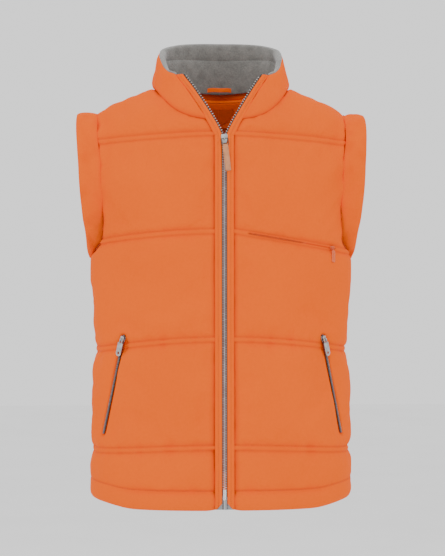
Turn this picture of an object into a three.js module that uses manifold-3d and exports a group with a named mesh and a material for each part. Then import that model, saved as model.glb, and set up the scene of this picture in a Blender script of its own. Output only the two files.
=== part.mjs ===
// A padded sleeveless vest in its worn shape, open at the neck, with a full-length front zip.
// Millimetres. +X is the wearer's left, -Y the front, +Z up. The origin is the middle of the neck base,
// level with the two points where the shoulder seams meet the collar.
// Heights written h are measured up from the hem.
import * as THREE from "three";
import { mergeVertices } from "three/addons/utils/BufferGeometryUtils.js";
import Module from "manifold-3d";

const wasm = await Module();
wasm.setup();

// ---- Driving dimensions: the garment ----
const BODY_LENGTH = 680; // hem to the neck-shoulder point
const HALF_WIDTH_HEM = 213;
const HALF_WIDTH_WAIST = 206;
const HALF_WIDTH_CHEST = 214;
const WAIST_SHARE = 0.4; // heights of the widths and depths, as shares of the length
const CHEST_SHARE = 0.6;
const SMALL_OF_BACK_SHARE = 0.42;
const BLADES_SHARE = 0.76;
const SECTION_POWER = 2.5; // superellipse power of the torso's section
const FRONT_DEPTH_HEM = 142; // middle plane to the zip line, at the hem
const ZIP_LEAN = 0.027; // how far the zip line leans back per millimetre of height
const BACK_DEPTH_HEM = 118;
const BACK_DEPTH_WAIST = 106;
const BACK_DEPTH_BLADES = 122;
const NECK_HALF_WIDTH = 112;
const SHOULDER_FALL = 0.408; // drop per millimetre towards the arm
const FRONT_NECK_DROP = 62; // neck-shoulder point down to the front neck seam
const BACK_NECK_DROP = 12;
const FRONT_SHOULDER_START = 250; // below the neck-shoulder point, where the chest starts to curve back
const BACK_SHOULDER_START = 200;

// ---- Layers, counted inwards from the outer face ----
const SHELL = 1.2;
const WADDING = 9;
const BAG = 1.6;
const LINING = 0.8;
const LAYER_GAP = 0.5;
const HEM_HEIGHT = 33;
const SEAM_GAP = 0.5;

// ---- Arm bands ----
const SHOULDER_EDGE_X = 204; // where the shoulder stops and the band starts
const ARMHOLE_TOP_DROP = 44; // neck-shoulder point down to the top of the armhole
const ARMHOLE_HEIGHT = 238;
const ARMHOLE_HALF_DEPTH = 74;
const BAND_TOP_REACH = 33; // how far the band stands out beyond the shoulder's edge
const BAND_INSIDE = 9;
const BAND_THICKNESS = 9;

// ---- Collar ----
const COLLAR_SHELL = 2;
const COLLAR_FLEECE = 6; // the fleece and its wadding
const COLLAR_BACK_HEIGHT = 91; // back neck seam to the rim
const COLLAR_SEAT = 9.5; // the collar's edge above the panels' upper edges
const COLLAR_BACK_SEAT = 3;
const COLLAR_INNER_SEAT = 0.1; // share of the height by which the inner layers start higher
const COLLAR_EDGE_GAP = 1.6; // between the placket and the collar's front edge
const COLLAR_SPLIT = 4; // station of the rim where the front wings bend away from the back collar
const WING_GAP = 0.35; // stations left open on each side of the split

// ---- The bend line of each front ----
const BEND_X = 111.5; // middle of the strip that bends when a front swings open
const BEND_GAP = 21;
const FOLD_CLEARANCE = 4; // between the strip that bends and the side panel

// ---- Main zip ----
const CHAIN_HALF = 3.3; // half the width of the closed row of teeth
const CHAIN_GAP = 0.75; // half the gap between the two rows
const CHAIN_MIDDLE = -2.3; // the chain's middle plane under the garment's face
const TEETH_THICKNESS = 2.6;
const TAPE_THICKNESS = 0.7;
const TAPE_EDGE = 14;
const TAPE_CLEARANCE = 0.6;
const ZIP_CLEARANCE = 0.3;
const ZIP_END_LENGTH = 15; // the box and the pin
const ZIP_BOTTOM = 3;
const NECK_OPEN_DROP = 88; // neck-shoulder point down to where the zip opens
const OPEN_HALF_WIDTH = 60; // half the open neck's width at the collar's top corners
const OPEN_TOP = 12; // top corners of the collar wings above the neck-shoulder point
const OPEN_LEAN_BACK = 50;
const PLACKET_INNER = 5.6;
const PLACKET_OUTER = 15;
const PLACKET_THICKNESS = 5;
const SLIDER_LENGTH = 14;
const SLIDER_HALF_WIDTH = 5.3;
const SLIDER_PLATE = 1.2;
const PLATE_CLEARANCE = 0.35; // between the chain and the slider's plates
const WEB_HALF = 0.25; // half the thickness of the web that joins them
const PULL_TILT = 7; // degrees, the way the pull hangs
const LINK_LENGTH = 10;
const LINK_HALF_WIDTH = 5.9;
const LINK_WIRE = 0.8; // radius of the link's bars
const TAB_LENGTH = 41;
const TAB_HALF_WIDTH = 4.6;
const TAB_THICKNESS = 2.2;

// ---- Hand pockets ----
const POCKET_TOP_H = 272;
const POCKET_BOTTOM_H = 119;
const POCKET_TOP_X = 160;
const POCKET_BOTTOM_X = 192;
const POCKET_SLOT_WIDTH = 11;
const POCKET_CHAIN_TOP = -0.6; // the chain's face under the garment's face
const POCKET_END_ROOM = 5;
const POCKET_GAP = 0.9; // between the two halves of a pocket chain
const POCKET_CHAIN_WIDTH = 4;
const POCKET_CHAIN_THICKNESS = 1.8;
const POCKET_SLIDER_LENGTH = 10;
const POCKET_SLIDER_WIDTH = 7.6;
const POCKET_PULL_LENGTH = 22;
const POCKET_RING_RADIUS = 5.4;
const POCKET_EYE_RADIUS = 2.2;

// ---- Chest pocket, on the wearer's left ----
const CHEST_INNER_X = 38;
const CHEST_OUTER_X = 182;
const CHEST_INNER_H = 435;
const CHEST_SLOPE = 0.1625; // drop per millimetre towards the arm
const CHEST_SLOT = 4.6; // half-width of the slot
const CHEST_END_ROOM = [1.4, 1.2]; // degrees of the arc, at the inner and the outer end
const CHEST_CHAIN_WIDTH = 4;
const CHEST_CHAIN_THICKNESS = 1.6;
const CHEST_CHAIN_Z = -1.6; // the chain's middle plane under the garment's face
const CHEST_CHAIN_JOIN = 0.6; // degrees over which the chain's two halves stay joined
const CHEST_SLIDER_BACK_OFF = 2.4; // degrees from the zip's outer end to the slider
const CHEST_PULL_LENGTH = 20;
const CHEST_PULL_WIDTH = 7;
const CHEST_PULL_LIFT = 14; // degrees that the pull stands off the cloth

// ---- Back neck ----
const LOOP_HALF_WIDTH = 20;
const LOOP_BOW = 9;
const LOOP_STRIP = 7;
const LOOP_THICKNESS = 1.2;
const FACING_HALF_WIDTH = 75;
const FACING_DEPTH = 55;
const LABEL_HALF_WIDTH = 15;
const LABEL_HEIGHT = 20;

// ---- Worked out from the sizes above ----
const LAYERS = {};
{
  let depth = 0;
  const next = (name, thickness, gap) => {
    LAYERS[name] = [-depth, -(depth + thickness)];
    depth += thickness + gap;
  };
  next("shell", SHELL, LAYER_GAP);
  next("wadding", WADDING, LAYER_GAP);
  next("bag", BAG, LAYER_GAP);
  next("lining", LINING, LAYER_GAP);
  next("facing", LINING, LAYER_GAP);
  next("label", LINING / 2, LAYER_GAP);
}
const PANEL_THICKNESS = -LAYERS.lining[1];
const OPEN_H = BODY_LENGTH - NECK_OPEN_DROP;
const OPEN_TOP_H = BODY_LENGTH + OPEN_TOP;
const FRONT_SHOULDER_H = BODY_LENGTH - FRONT_SHOULDER_START;
const BACK_SHOULDER_H = BODY_LENGTH - BACK_SHOULDER_START;
const ARMHOLE_TOP_H = BODY_LENGTH - ARMHOLE_TOP_DROP;
const ARMHOLE_MIDDLE_H = ARMHOLE_TOP_H - ARMHOLE_HEIGHT / 2;
const DOOR_EDGE_X = BEND_X - BEND_GAP / 2;
const SIDE_EDGE_X = BEND_X + BEND_GAP / 2;
const LEFT = 1;
const RIGHT = -1;
const SIDES = [
  ["left", LEFT],
  ["right", RIGHT],
];

// ---- Colours ----
const fabric = (color, roughness = 0.8) => new THREE.MeshStandardMaterial({ color, roughness, metalness: 0 });
const metal = (color, roughness) => new THREE.MeshStandardMaterial({ color, roughness, metalness: 0.9 });
const ORANGE = fabric(0xff6a22);
const LINING_ORANGE = fabric(0xd8481c);
const WADDING_WHITE = fabric(0xece9e2, 1);
const FLEECE_GREY = fabric(0x7b7873, 1);
const CHAIN_GREY = metal(0x9a9c9a, 0.45);
const SLIDER_STEEL = metal(0xb9bcbd, 0.3);
const LINK_STEEL = metal(0x77797a, 0.4);
const TAB_LEATHER = fabric(0xd98a66, 0.7);
const ORANGE_ENAMEL = fabric(0xe85a1c, 0.4);
const LABEL_CLOTH = fabric(0xa03a1e);

// ---- Small helpers ----
const clamp01 = (t) => Math.min(1, Math.max(0, t));
const lerp = (a, b, t) => a + (b - a) * t;
const smooth = (t) => clamp01(t) ** 2 * (3 - 2 * clamp01(t));
const vec = (x, y, z) => new THREE.Vector3(x, y, z);
const degrees = (d) => (d * Math.PI) / 180;
const atHeight = (x, y, h) => vec(x, y, h - BODY_LENGTH);

// A value that runs smoothly through [height, value] stations.
function stations(list, h) {
  const last = list.length - 1;
  if (h <= list[0][0]) return list[0][1];
  if (h >= list[last][0]) return list[last][1];
  const i = list.findIndex(([top], k) => k > 0 && h <= top);
  const [h0, v0] = list[i - 1];
  const [h1, v1] = list[i];
  return lerp(v0, v1, smooth((h - h0) / (h1 - h0)));
}

// ---- The torso's outer surface ----
const halfWidth = (h) =>
  stations([
    [0, HALF_WIDTH_HEM],
    [WAIST_SHARE * BODY_LENGTH, HALF_WIDTH_WAIST],
    [CHEST_SHARE * BODY_LENGTH, HALF_WIDTH_CHEST],
  ], h);
const backDepth = (h) =>
  stations([
    [0, BACK_DEPTH_HEM],
    [SMALL_OF_BACK_SHARE * BODY_LENGTH, BACK_DEPTH_WAIST],
    [BLADES_SHARE * BODY_LENGTH, BACK_DEPTH_BLADES],
  ], h);
const shoulderHeight = (x) => BODY_LENGTH - (x - NECK_HALF_WIDTH) * SHOULDER_FALL;
const across = (x, h) => (1 - Math.min(1, x / halfWidth(h)) ** SECTION_POWER) ** (1 / SECTION_POWER);

// How much of the full depth is left at height h on its way up to the shoulder ridge, from 1 to 0.
function frontFullness(x, h) {
  const t = clamp01((h - FRONT_SHOULDER_H) / (shoulderHeight(x) - FRONT_SHOULDER_H));
  const aside = smooth(x / NECK_HALF_WIDTH);
  return (1 - t ** lerp(4, 2.6, aside)) ** (1 / lerp(2.5, 1.8, aside));
}
function backFullness(x, h) {
  const t = clamp01((h - BACK_SHOULDER_H) / (shoulderHeight(x) - BACK_SHOULDER_H));
  return (1 - t ** 2.2) ** (1 / 1.5);
}
const zipDepth = (h) => {
  const straight = FRONT_DEPTH_HEM - ZIP_LEAN * Math.min(h, OPEN_H);
  return h <= OPEN_H ? straight : (straight * frontFullness(0, h)) / frontFullness(0, OPEN_H);
};
const frontY = (x, h) => (-zipDepth(h) * across(x, h) * frontFullness(x, h)) / frontFullness(0, h);
const backY = (x, h) => backDepth(h) * across(x, h) * backFullness(x, h);

// A point of the torso by its angle round the section (0 at the middle, a right angle at the side seam).
const FRONT = -1;
const BACK = 1;
function torsoPoint(face, angle, h) {
  const x = halfWidth(h) * Math.abs(Math.sin(angle)) ** (2 / SECTION_POWER);
  const y = face === FRONT ? frontY(x, h) : backY(x, h);
  return atHeight(Math.sign(Math.sin(angle)) * x, y, h);
}
const angleOf = (x, h) =>
  Math.sign(x) * Math.asin(Math.min(1, Math.abs(x) / halfWidth(h)) ** (SECTION_POWER / 2));

// The outward normal of a torso face, by small steps along the surface.
function torsoNormal(face, x, h) {
  const step = 1.5;
  const limit = angleOf(halfWidth(h) - 0.02, h);
  const at = (dx, dh) => {
    const angle = Math.max(-limit, Math.min(limit, angleOf(x, h) + dx / 200));
    return torsoPoint(face, angle, h + dh);
  };
  const along = at(step, 0).sub(at(-step, 0));
  const up = at(0, 0).sub(at(0, -2 * step));
  return along.cross(up).multiplyScalar(-face).normalize();
}

// ---- Solids from grids ----
// A closed geometry between two grids of points, outer and inner, of the same size.
function closedGrid(outer, inner) {
  const rows = outer.length;
  const columns = outer[0].length;
  const points = [...outer.flat(), ...inner.flat()];
  const outerAt = (i, j) => i * columns + j;
  const innerAt = (i, j) => rows * columns + outerAt(i, j);
  const faces = [];
  const quad = (a, b, c, d) => faces.push(a, b, c, a, c, d);
  for (let i = 0; i + 1 < rows; i++)
    for (let j = 0; j + 1 < columns; j++) {
      quad(outerAt(i, j), outerAt(i, j + 1), outerAt(i + 1, j + 1), outerAt(i + 1, j));
      quad(innerAt(i, j), innerAt(i + 1, j), innerAt(i + 1, j + 1), innerAt(i, j + 1));
    }
  for (let j = 0; j + 1 < columns; j++) {
    quad(innerAt(0, j), innerAt(0, j + 1), outerAt(0, j + 1), outerAt(0, j));
    quad(outerAt(rows - 1, j), outerAt(rows - 1, j + 1), innerAt(rows - 1, j + 1), innerAt(rows - 1, j));
  }
  for (let i = 0; i + 1 < rows; i++) {
    quad(outerAt(i, 0), outerAt(i + 1, 0), innerAt(i + 1, 0), innerAt(i, 0));
    const last = columns - 1;
    quad(innerAt(i, last), innerAt(i + 1, last), outerAt(i + 1, last), outerAt(i, last));
  }
  return facingOut(points, faces);
}

// A geometry from points and triangles, turned so that its faces point out.
function facingOut(points, faces) {
  let volume = 0;
  for (let i = 0; i < faces.length; i += 3)
    volume += points[faces[i]].dot(points[faces[i + 1]].clone().cross(points[faces[i + 2]]));
  const order = volume < 0 ? faces.slice().reverse() : faces;
  const geometry = new THREE.BufferGeometry().setFromPoints(points).setIndex(order);
  return geometry;
}

// A closed tube whose sections are rings of points; closed says that the last ring joins the first.
function closedRings(rings, closed = false) {
  const sides = rings[0].length;
  const points = rings.flat();
  const faces = [];
  const turns = closed ? rings.length : rings.length - 1;
  for (let i = 0; i < turns; i++)
    for (let j = 0; j < sides; j++) {
      const a = i * sides + j;
      const b = i * sides + ((j + 1) % sides);
      const c = ((i + 1) % rings.length) * sides + ((j + 1) % sides);
      const d = ((i + 1) % rings.length) * sides + j;
      faces.push(a, b, c, a, c, d);
    }
  if (!closed)
    for (let j = 1; j + 1 < sides; j++) {
      const end = (rings.length - 1) * sides;
      faces.push(0, j + 1, j, end, end + j, end + j + 1);
    }
  return facingOut(points, faces);
}

function welded(geometry) {
  const bare = geometry.clone();
  bare.deleteAttribute("normal");
  bare.deleteAttribute("uv");
  const merged = mergeVertices(bare, 1e-4);
  const corners = Array.from(merged.index.array);
  const faces = [];
  for (let i = 0; i < corners.length; i += 3) {
    const [a, b, c] = corners.slice(i, i + 3);
    if (a !== b && b !== c && c !== a) faces.push(a, b, c);
  }
  return merged.setIndex(faces);
}
function solid(geometry) {
  const merged = welded(geometry);
  const vertProperties = merged.attributes.position.array;
  const triVerts = new Uint32Array(merged.index.array);
  return new wasm.Manifold(new wasm.Mesh({ numProp: 3, vertProperties, triVerts }));
}
function geometryOf(body) {
  const mesh = body.getMesh();
  return new THREE.BufferGeometry()
    .setAttribute("position", new THREE.BufferAttribute(mesh.vertProperties, 3))
    .setIndex(new THREE.BufferAttribute(mesh.triVerts, 1));
}
const cut = (geometry, ...cutters) =>
  geometryOf(cutters.reduce((body, cutter) => body.subtract(solid(cutter)), solid(geometry)));
const kept = (geometry, region) => geometryOf(solid(geometry).intersect(solid(region)));
const join = (geometry, ...others) =>
  geometryOf(others.reduce((body, other) => body.add(solid(other)), solid(geometry)));

const mirrored = (geometry, side) => {
  if (side === LEFT) return geometry;
  const flipped = welded(geometry).applyMatrix4(new THREE.Matrix4().makeScale(-1, 1, 1));
  return flipped.setIndex(Array.from(flipped.index.array).reverse());
};
const placed = (geometry, matrix) => geometry.clone().applyMatrix4(matrix);

const vest = new THREE.Group();
function part(name, geometry, material, place = null) {
  const mesh = new THREE.Mesh(geometry, material);
  mesh.name = name;
  if (place) mesh.applyMatrix4(place);
  vest.add(mesh);
}

// ---- The zip's path, from the hem to the collar's top corner, for the wearer's left side ----
function zipPoint(h) {
  const t = clamp01((h - OPEN_H) / (OPEN_TOP_H - OPEN_H));
  const x = OPEN_HALF_WIDTH * t ** 1.15;
  return atHeight(x, -zipDepth(Math.min(h, OPEN_H)) + OPEN_LEAN_BACK * t ** 1.8, h);
}
// The path's frame at height h: the point, the way along, the way aside and the way out of the garment.
function zipFrame(h) {
  const above = Math.min(h + 1, OPEN_TOP_H);
  const along = zipPoint(above).sub(zipPoint(above - 2)).normalize();
  const turn = smooth((h - OPEN_H) / (OPEN_TOP_H - OPEN_H));
  const aside = vec(1, 0, 0).lerp(vec(0.72, 0.68, 0.1), turn);
  aside.addScaledVector(along, -aside.dot(along)).normalize();
  return { point: zipPoint(h), along, aside, out: aside.clone().cross(along).normalize() };
}
const ZIP_STEP = 8;
const zipHeights = (from, to) => {
  const steps = [OPEN_H - 12];
  for (let h = OPEN_H - 4; h < OPEN_TOP_H; h += ZIP_STEP) steps.push(h);
  return [from, ...steps.filter((h) => h > from + 1 && h < to - 1), to];
};
// A strip along the zip: aside from..to, and outwards low..high.
function zipStrip(fromH, toH, asideFrom, asideTo, low, high) {
  const rings = zipHeights(fromH, toH).map((h) => {
    const f = zipFrame(h);
    return [[asideFrom, low], [asideTo, low], [asideTo, high], [asideFrom, high]].map(([a, o]) =>
      f.point.clone().addScaledVector(f.aside, a).addScaledVector(f.out, o));
  });
  return closedRings(rings);
}

// ---- The neck seam and the collar ----
const frontNeckHeight = (x) => BODY_LENGTH - FRONT_NECK_DROP * (1 - (x / NECK_HALF_WIDTH) ** 3.2);
const backNeckHeight = (x) => BODY_LENGTH - BACK_NECK_DROP * (1 - (x / NECK_HALF_WIDTH) ** 2);
const panelInnerX = (h) => {
  const t = clamp01((h - OPEN_H) / (OPEN_TOP_H - OPEN_H));
  return PLACKET_OUTER + SEAM_GAP + OPEN_HALF_WIDTH * t ** 1.15 + 5 * smooth(t * 3);
};
const collarBase = (() => {
  const front = (x) => atHeight(x, frontY(x, frontNeckHeight(x)), frontNeckHeight(x) + COLLAR_SEAT);
  const back = (x) => atHeight(x, backY(x, backNeckHeight(x)), backNeckHeight(x) + COLLAR_BACK_SEAT);
  const share = (s) => s * NECK_HALF_WIDTH;
  return [
    front(panelInnerX(frontNeckHeight(panelInnerX(BODY_LENGTH - FRONT_NECK_DROP)))),
    front(share(0.34)),
    front(share(0.5)),
    front(share(0.68)),
    front(share(0.84)),
    front(share(0.95)),
    atHeight(NECK_HALF_WIDTH, 0, BODY_LENGTH + COLLAR_BACK_SEAT),
    back(share(0.92)),
    back(share(0.67)),
    back(share(0.34)),
    back(0),
  ];
})();
// The rim: how far each station of the collar leans in and rises from its base.
const collarRim = (() => {
  const corner = zipFrame(OPEN_TOP_H);
  const start = corner.point.clone().addScaledVector(corner.aside, PLACKET_OUTER + COLLAR_EDGE_GAP);
  const rise = COLLAR_BACK_HEIGHT / 91;
  const high = (x, y, up) => vec((x * NECK_HALF_WIDTH) / 112, y, up * rise);
  return [
    start,
    start.clone().lerp(high(80, -56, 17), 0.5),
    high(80, -56, 17),
    high(87, -47, 20),
    high(94, -35, 29),
    high(99, -15, 44),
    high(100, 3, 55),
    high(96, 24, 65),
    high(72, 47, 74),
    high(38, 58, 78),
    high(0, 61, 79),
  ];
})();
const COLLAR_STATIONS = collarBase.length - 1;
const EDGE_STATIONS = 3; // over which the collar's front edge is drawn to the zip
const halfRing = (points) => {
  const whole = [...points, ...points.slice(0, -1).reverse().map((p) => vec(-p.x, p.y, p.z))];
  return new THREE.CatmullRomCurve3(whole, false, "centripetal");
};
const baseCurve = halfRing(collarBase);
const rimCurve = halfRing(collarRim);
// s counts stations from the left front edge (0) round the back (10) to the right front edge (20).
function collarPoint(s, v) {
  const base = baseCurve.getPoint(s / (2 * COLLAR_STATIONS));
  const rim = rimCurve.getPoint(s / (2 * COLLAR_STATIONS));
  const point = base.clone().lerp(rim, v);
  const fromEdge = Math.min(s, 2 * COLLAR_STATIONS - s);
  if (fromEdge < EDGE_STATIONS) {
    const edge = zipFrame(lerp(base.z, rim.z, v) + BODY_LENGTH);
    const sideways = edge.point.addScaledVector(edge.aside, PLACKET_OUTER + COLLAR_EDGE_GAP);
    if (s > COLLAR_STATIONS) sideways.x *= -1;
    const first = s > COLLAR_STATIONS ? 2 * COLLAR_STATIONS : 0;
    const ruled = baseCurve.getPoint(first / (2 * COLLAR_STATIONS))
      .lerp(rimCurve.getPoint(first / (2 * COLLAR_STATIONS)), v);
    point.add(sideways.sub(ruled).multiplyScalar((1 - fromEdge / EDGE_STATIONS) ** 2));
  }
  return point;
}
function collarNormal(s, v) {
  const step = 0.05;
  const last = 2 * COLLAR_STATIONS;
  const along = collarPoint(Math.min(last, s + step), v).sub(collarPoint(Math.max(0, s - step), v));
  const up = collarPoint(s, Math.min(1, v + 0.1)).sub(collarPoint(s, Math.max(0, v - 0.1)));
  return along.cross(up).normalize();
}
function collarLayer(from, to, [outer, inner], columns) {
  const rows = 5;
  const grid = (offset) =>
    Array.from({ length: rows + 1 }, (_, i) =>
      Array.from({ length: columns + 1 }, (_, j) => {
        const s = lerp(from, to, j / columns);
        const v = lerp(outer < 0 ? COLLAR_INNER_SEAT : 0, 1, i / rows);
        return collarPoint(s, v).addScaledVector(collarNormal(s, v), offset);
      }));
  return closedGrid(grid(outer), grid(inner));
}

// ---- Torso panels ----
// A layer of a torso face. columnX(u, h) gives the place across, topH(x) the height of the upper edge.
const PANEL_ROWS = [0, 0.2, 0.4, 0.56, 0.7, 0.8, 0.88, 0.94, 0.98, 1]; // closer together at the shoulder
const HEM_ROWS = [0, 1];
function torsoLayer(face, columnX, bottomH, topH, [outer, inner], columns, rows = PANEL_ROWS) {
  const place = (u, v) => {
    let x = columnX(u, BODY_LENGTH / 2);
    let h = bottomH;
    for (let pass = 0; pass < 6; pass++) {
      h = lerp(bottomH, topH(Math.abs(x)), v);
      x = columnX(u, h);
    }
    return { x, h };
  };
  const grid = (offset) =>
    rows.map((v) =>
      Array.from({ length: columns + 1 }, (_, j) => {
        const { x, h } = place(j / columns, v);
        const normal = torsoNormal(face, x, h);
        if (rows === HEM_ROWS) normal.setZ(0).normalize();
        const point = torsoPoint(face, angleOf(x, h), h).addScaledVector(normal, offset);
        return point.setY(face * Math.max(face * point.y, SEAM_GAP / 2));
      }));
  return closedGrid(grid(outer), grid(inner));
}

const sideX = (h) => {
  const narrowed = smooth((h - ARMHOLE_MIDDLE_H) / (ARMHOLE_HEIGHT / 3));
  return lerp(halfWidth(h) - 0.0005, SHOULDER_EDGE_X, narrowed);
};
const acrossByAngle = (fromX, toX) => (u, h) => {
  const angle = lerp(angleOf(fromX(h), h), angleOf(toX(h), h), u);
  return Math.sign(angle) * halfWidth(h) * Math.abs(Math.sin(angle)) ** (2 / SECTION_POWER);
};
const sideColumns = acrossByAngle(() => SIDE_EDGE_X, sideX);
const doorColumns = (u, h) => lerp(panelInnerX(h), DOOR_EDGE_X, u);
const backColumns = acrossByAngle((h) => -sideX(h), sideX);
const ridge = (x) => shoulderHeight(x) - 0.3;
const backTop = (x) => (x < NECK_HALF_WIDTH ? backNeckHeight(x) : ridge(x)) - SEAM_GAP;
const doorTop = (x) => frontNeckHeight(x) - SEAM_GAP;

// A point of the armhole's oval, drawn in by inset, at angle turn from the front, at x.
const ARMHOLE_SIDES = 20;
function armholePoint(turn, inset, x) {
  const y = -(ARMHOLE_HALF_DEPTH - inset) * Math.cos(turn);
  return atHeight(x, y, ARMHOLE_MIDDLE_H + (ARMHOLE_HEIGHT / 2 - inset) * Math.sin(turn));
}
const armholeTurns = Array.from({ length: ARMHOLE_SIDES }, (_, i) => (2 * Math.PI * i) / ARMHOLE_SIDES);
const armholeRing = (x) => armholeTurns.map((turn) => armholePoint(turn, 0, x));
const armholeCutter = closedRings([armholeRing(HALF_WIDTH_CHEST * 0.6), armholeRing(HALF_WIDTH_CHEST * 1.5)]);

// How far out the torso is at the armhole's edge.
function armholeEdgeX(turn) {
  const { y, z } = armholePoint(turn, 0, 0);
  const h = z + BODY_LENGTH;
  let near = HALF_WIDTH_CHEST * 0.6;
  let far = halfWidth(h) - 0.01;
  for (let pass = 0; pass < 30; pass++) {
    const middle = (near + far) / 2;
    const reach = y < 0 ? -frontY(middle, h) : backY(middle, h);
    if (reach > Math.abs(y)) near = middle;
    else far = middle;
  }
  return Math.min(near, SHOULDER_EDGE_X + (h < ARMHOLE_MIDDLE_H ? 99 : 0));
}
function armBand(fromInset, toInset) {
  const rings = armholeTurns.map((turn) => {
    const edge = armholeEdgeX(turn);
    const rise = (1 + Math.sin(turn)) / 2;
    const out = Math.max(edge + 3, lerp(HALF_WIDTH_CHEST + 1, SHOULDER_EDGE_X + BAND_TOP_REACH, rise ** 0.6));
    const middle = (fromInset + toInset) / 2;
    const corner = (toInset - fromInset) / 2;
    return [
      armholePoint(turn, fromInset, edge - BAND_INSIDE),
      armholePoint(turn, fromInset, out - corner),
      armholePoint(turn, middle, out),
      armholePoint(turn, toInset, out - corner),
      armholePoint(turn, toInset, edge - BAND_INSIDE),
    ];
  });
  return closedRings(rings, true);
}

// The slot of a hand pocket: its frame has X along the zip downwards, Y across and Z out of the garment.
const pocketFrame = (() => {
  const top = atHeight(POCKET_TOP_X, frontY(POCKET_TOP_X, POCKET_TOP_H), POCKET_TOP_H);
  const bottom = atHeight(POCKET_BOTTOM_X, frontY(POCKET_BOTTOM_X, POCKET_BOTTOM_H), POCKET_BOTTOM_H);
  const middleX = (POCKET_TOP_X + POCKET_BOTTOM_X) / 2;
  const out = torsoNormal(FRONT, middleX, (POCKET_TOP_H + POCKET_BOTTOM_H) / 2);
  const along = bottom.clone().sub(top);
  const length = along.length();
  along.normalize();
  out.addScaledVector(along, -out.dot(along)).normalize();
  const aside = out.clone().cross(along);
  return { matrix: new THREE.Matrix4().makeBasis(along, aside, out).setPosition(top), length };
})();
const boxAt = (x, y, z, sx, sy, sz) => new THREE.BoxGeometry(sx, sy, sz).translate(x, y, z);
const pocketCutter = placed(
  boxAt(pocketFrame.length / 2, 0, 0, pocketFrame.length + 2 * POCKET_END_ROOM, POCKET_SLOT_WIDTH, 12),
  pocketFrame.matrix,
);

// The chest pocket's zip is an arc in a tilted plane: its frame has Z along the arc's axis.
const chestArc = (() => {
  const middleX = (CHEST_INNER_X + CHEST_OUTER_X) / 2;
  const flat = (x) => {
    const h = CHEST_INNER_H - (x - CHEST_INNER_X) * CHEST_SLOPE;
    return { x: (x - CHEST_INNER_X) * Math.hypot(1, CHEST_SLOPE), y: frontY(x, h) };
  };
  const [a, b, c] = [CHEST_INNER_X, middleX, CHEST_OUTER_X].map(flat);
  const d = 2 * (a.x * (b.y - c.y) + b.x * (c.y - a.y) + c.x * (a.y - b.y));
  const squares = [a, b, c].map((p) => p.x ** 2 + p.y ** 2);
  const cx = (squares[0] * (b.y - c.y) + squares[1] * (c.y - a.y) + squares[2] * (a.y - b.y)) / d;
  const cy = (squares[0] * (c.x - b.x) + squares[1] * (a.x - c.x) + squares[2] * (b.x - a.x)) / d;
  const radius = Math.hypot(a.x - cx, a.y - cy);
  const run = vec(1, 0, -CHEST_SLOPE).normalize();
  const axis = run.clone().cross(vec(0, 1, 0)).normalize();
  const origin = atHeight(CHEST_INNER_X, 0, CHEST_INNER_H);
  const centre = origin.addScaledVector(run, cx).add(vec(0, cy, 0));
  const angleAt = (p) => Math.atan2(p.x - cx, -(p.y - cy));
  const matrix = new THREE.Matrix4().makeBasis(run, vec(0, 1, 0), axis).setPosition(centre);
  return { matrix, radius, from: angleAt(a), to: angleAt(c) };
})();
// A ring sector about the arc's axis, from angle to angle, radii inner to outer, and half-height either side.
function arcStrip(from, to, inner, outer, half) {
  const steps = Math.max(2, Math.ceil((to - from) / degrees(3)));
  const rings = Array.from({ length: steps + 1 }, (_, i) => {
    const angle = lerp(from, to, i / steps);
    const at = (r, z) => vec(r * Math.sin(angle), -r * Math.cos(angle), z);
    return [at(inner, -half), at(outer, -half), at(outer, half), at(inner, half)];
  });
  return placed(closedRings(rings), chestArc.matrix);
}
const chestAngleAtX = (x) => {
  const local = atHeight(x, 0, CHEST_INNER_H - (x - CHEST_INNER_X) * CHEST_SLOPE)
    .applyMatrix4(chestArc.matrix.clone().invert());
  return Math.asin(local.x / chestArc.radius);
};
const chestCutter = arcStrip(
  chestArc.from - degrees(CHEST_END_ROOM[0]),
  chestArc.to + degrees(CHEST_END_ROOM[1]),
  chestArc.radius - 9,
  chestArc.radius + 6,
  CHEST_SLOT,
);

// ---- Build: torso layers ----
const sideTop = (x) => ridge(x) - SEAM_GAP;
const layerColours = { shell: ORANGE, wadding: WADDING_WHITE, lining: LINING_ORANGE };
const SIDE_COLUMNS = 6;
const DOOR_COLUMNS = 4;
const BACK_COLUMNS = 16;
const panelBottom = HEM_HEIGHT + SEAM_GAP;
for (const [layer, colour] of Object.entries(layerColours)) {
  const range = LAYERS[layer];
  const inside = layer === "lining";
  const back = torsoLayer(BACK, backColumns, panelBottom, backTop, range, BACK_COLUMNS);
  part(`back_${layer}`, cut(back, armholeCutter, mirrored(armholeCutter, RIGHT)), colour);
  for (const [name, side] of SIDES) {
    const chest = side === LEFT && !inside ? [chestCutter] : [];
    const slots = inside ? [] : [pocketCutter, ...chest];
    const sidePanel = torsoLayer(FRONT, sideColumns, panelBottom, sideTop, range, SIDE_COLUMNS);
    part(`${name}_side_${layer}`, mirrored(cut(sidePanel, armholeCutter, ...slots), side), colour);
    const door = torsoLayer(FRONT, doorColumns, panelBottom, doorTop, range, DOOR_COLUMNS);
    part(`${name}_front_${layer}`, mirrored(chest.length ? cut(door, ...chest) : door, side), colour);
  }
}

// A box that keeps what lies between two x and two heights.
const region = (fromX, toX, fromH, toH) =>
  boxAt((fromX + toX) / 2, 0, (fromH + toH) / 2 - BODY_LENGTH, toX - fromX, 4 * FRONT_DEPTH_HEM, toH - fromH);
const sideLayer = (layer) =>
  torsoLayer(FRONT, sideColumns, panelBottom, sideTop, LAYERS[layer], SIDE_COLUMNS);

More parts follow.
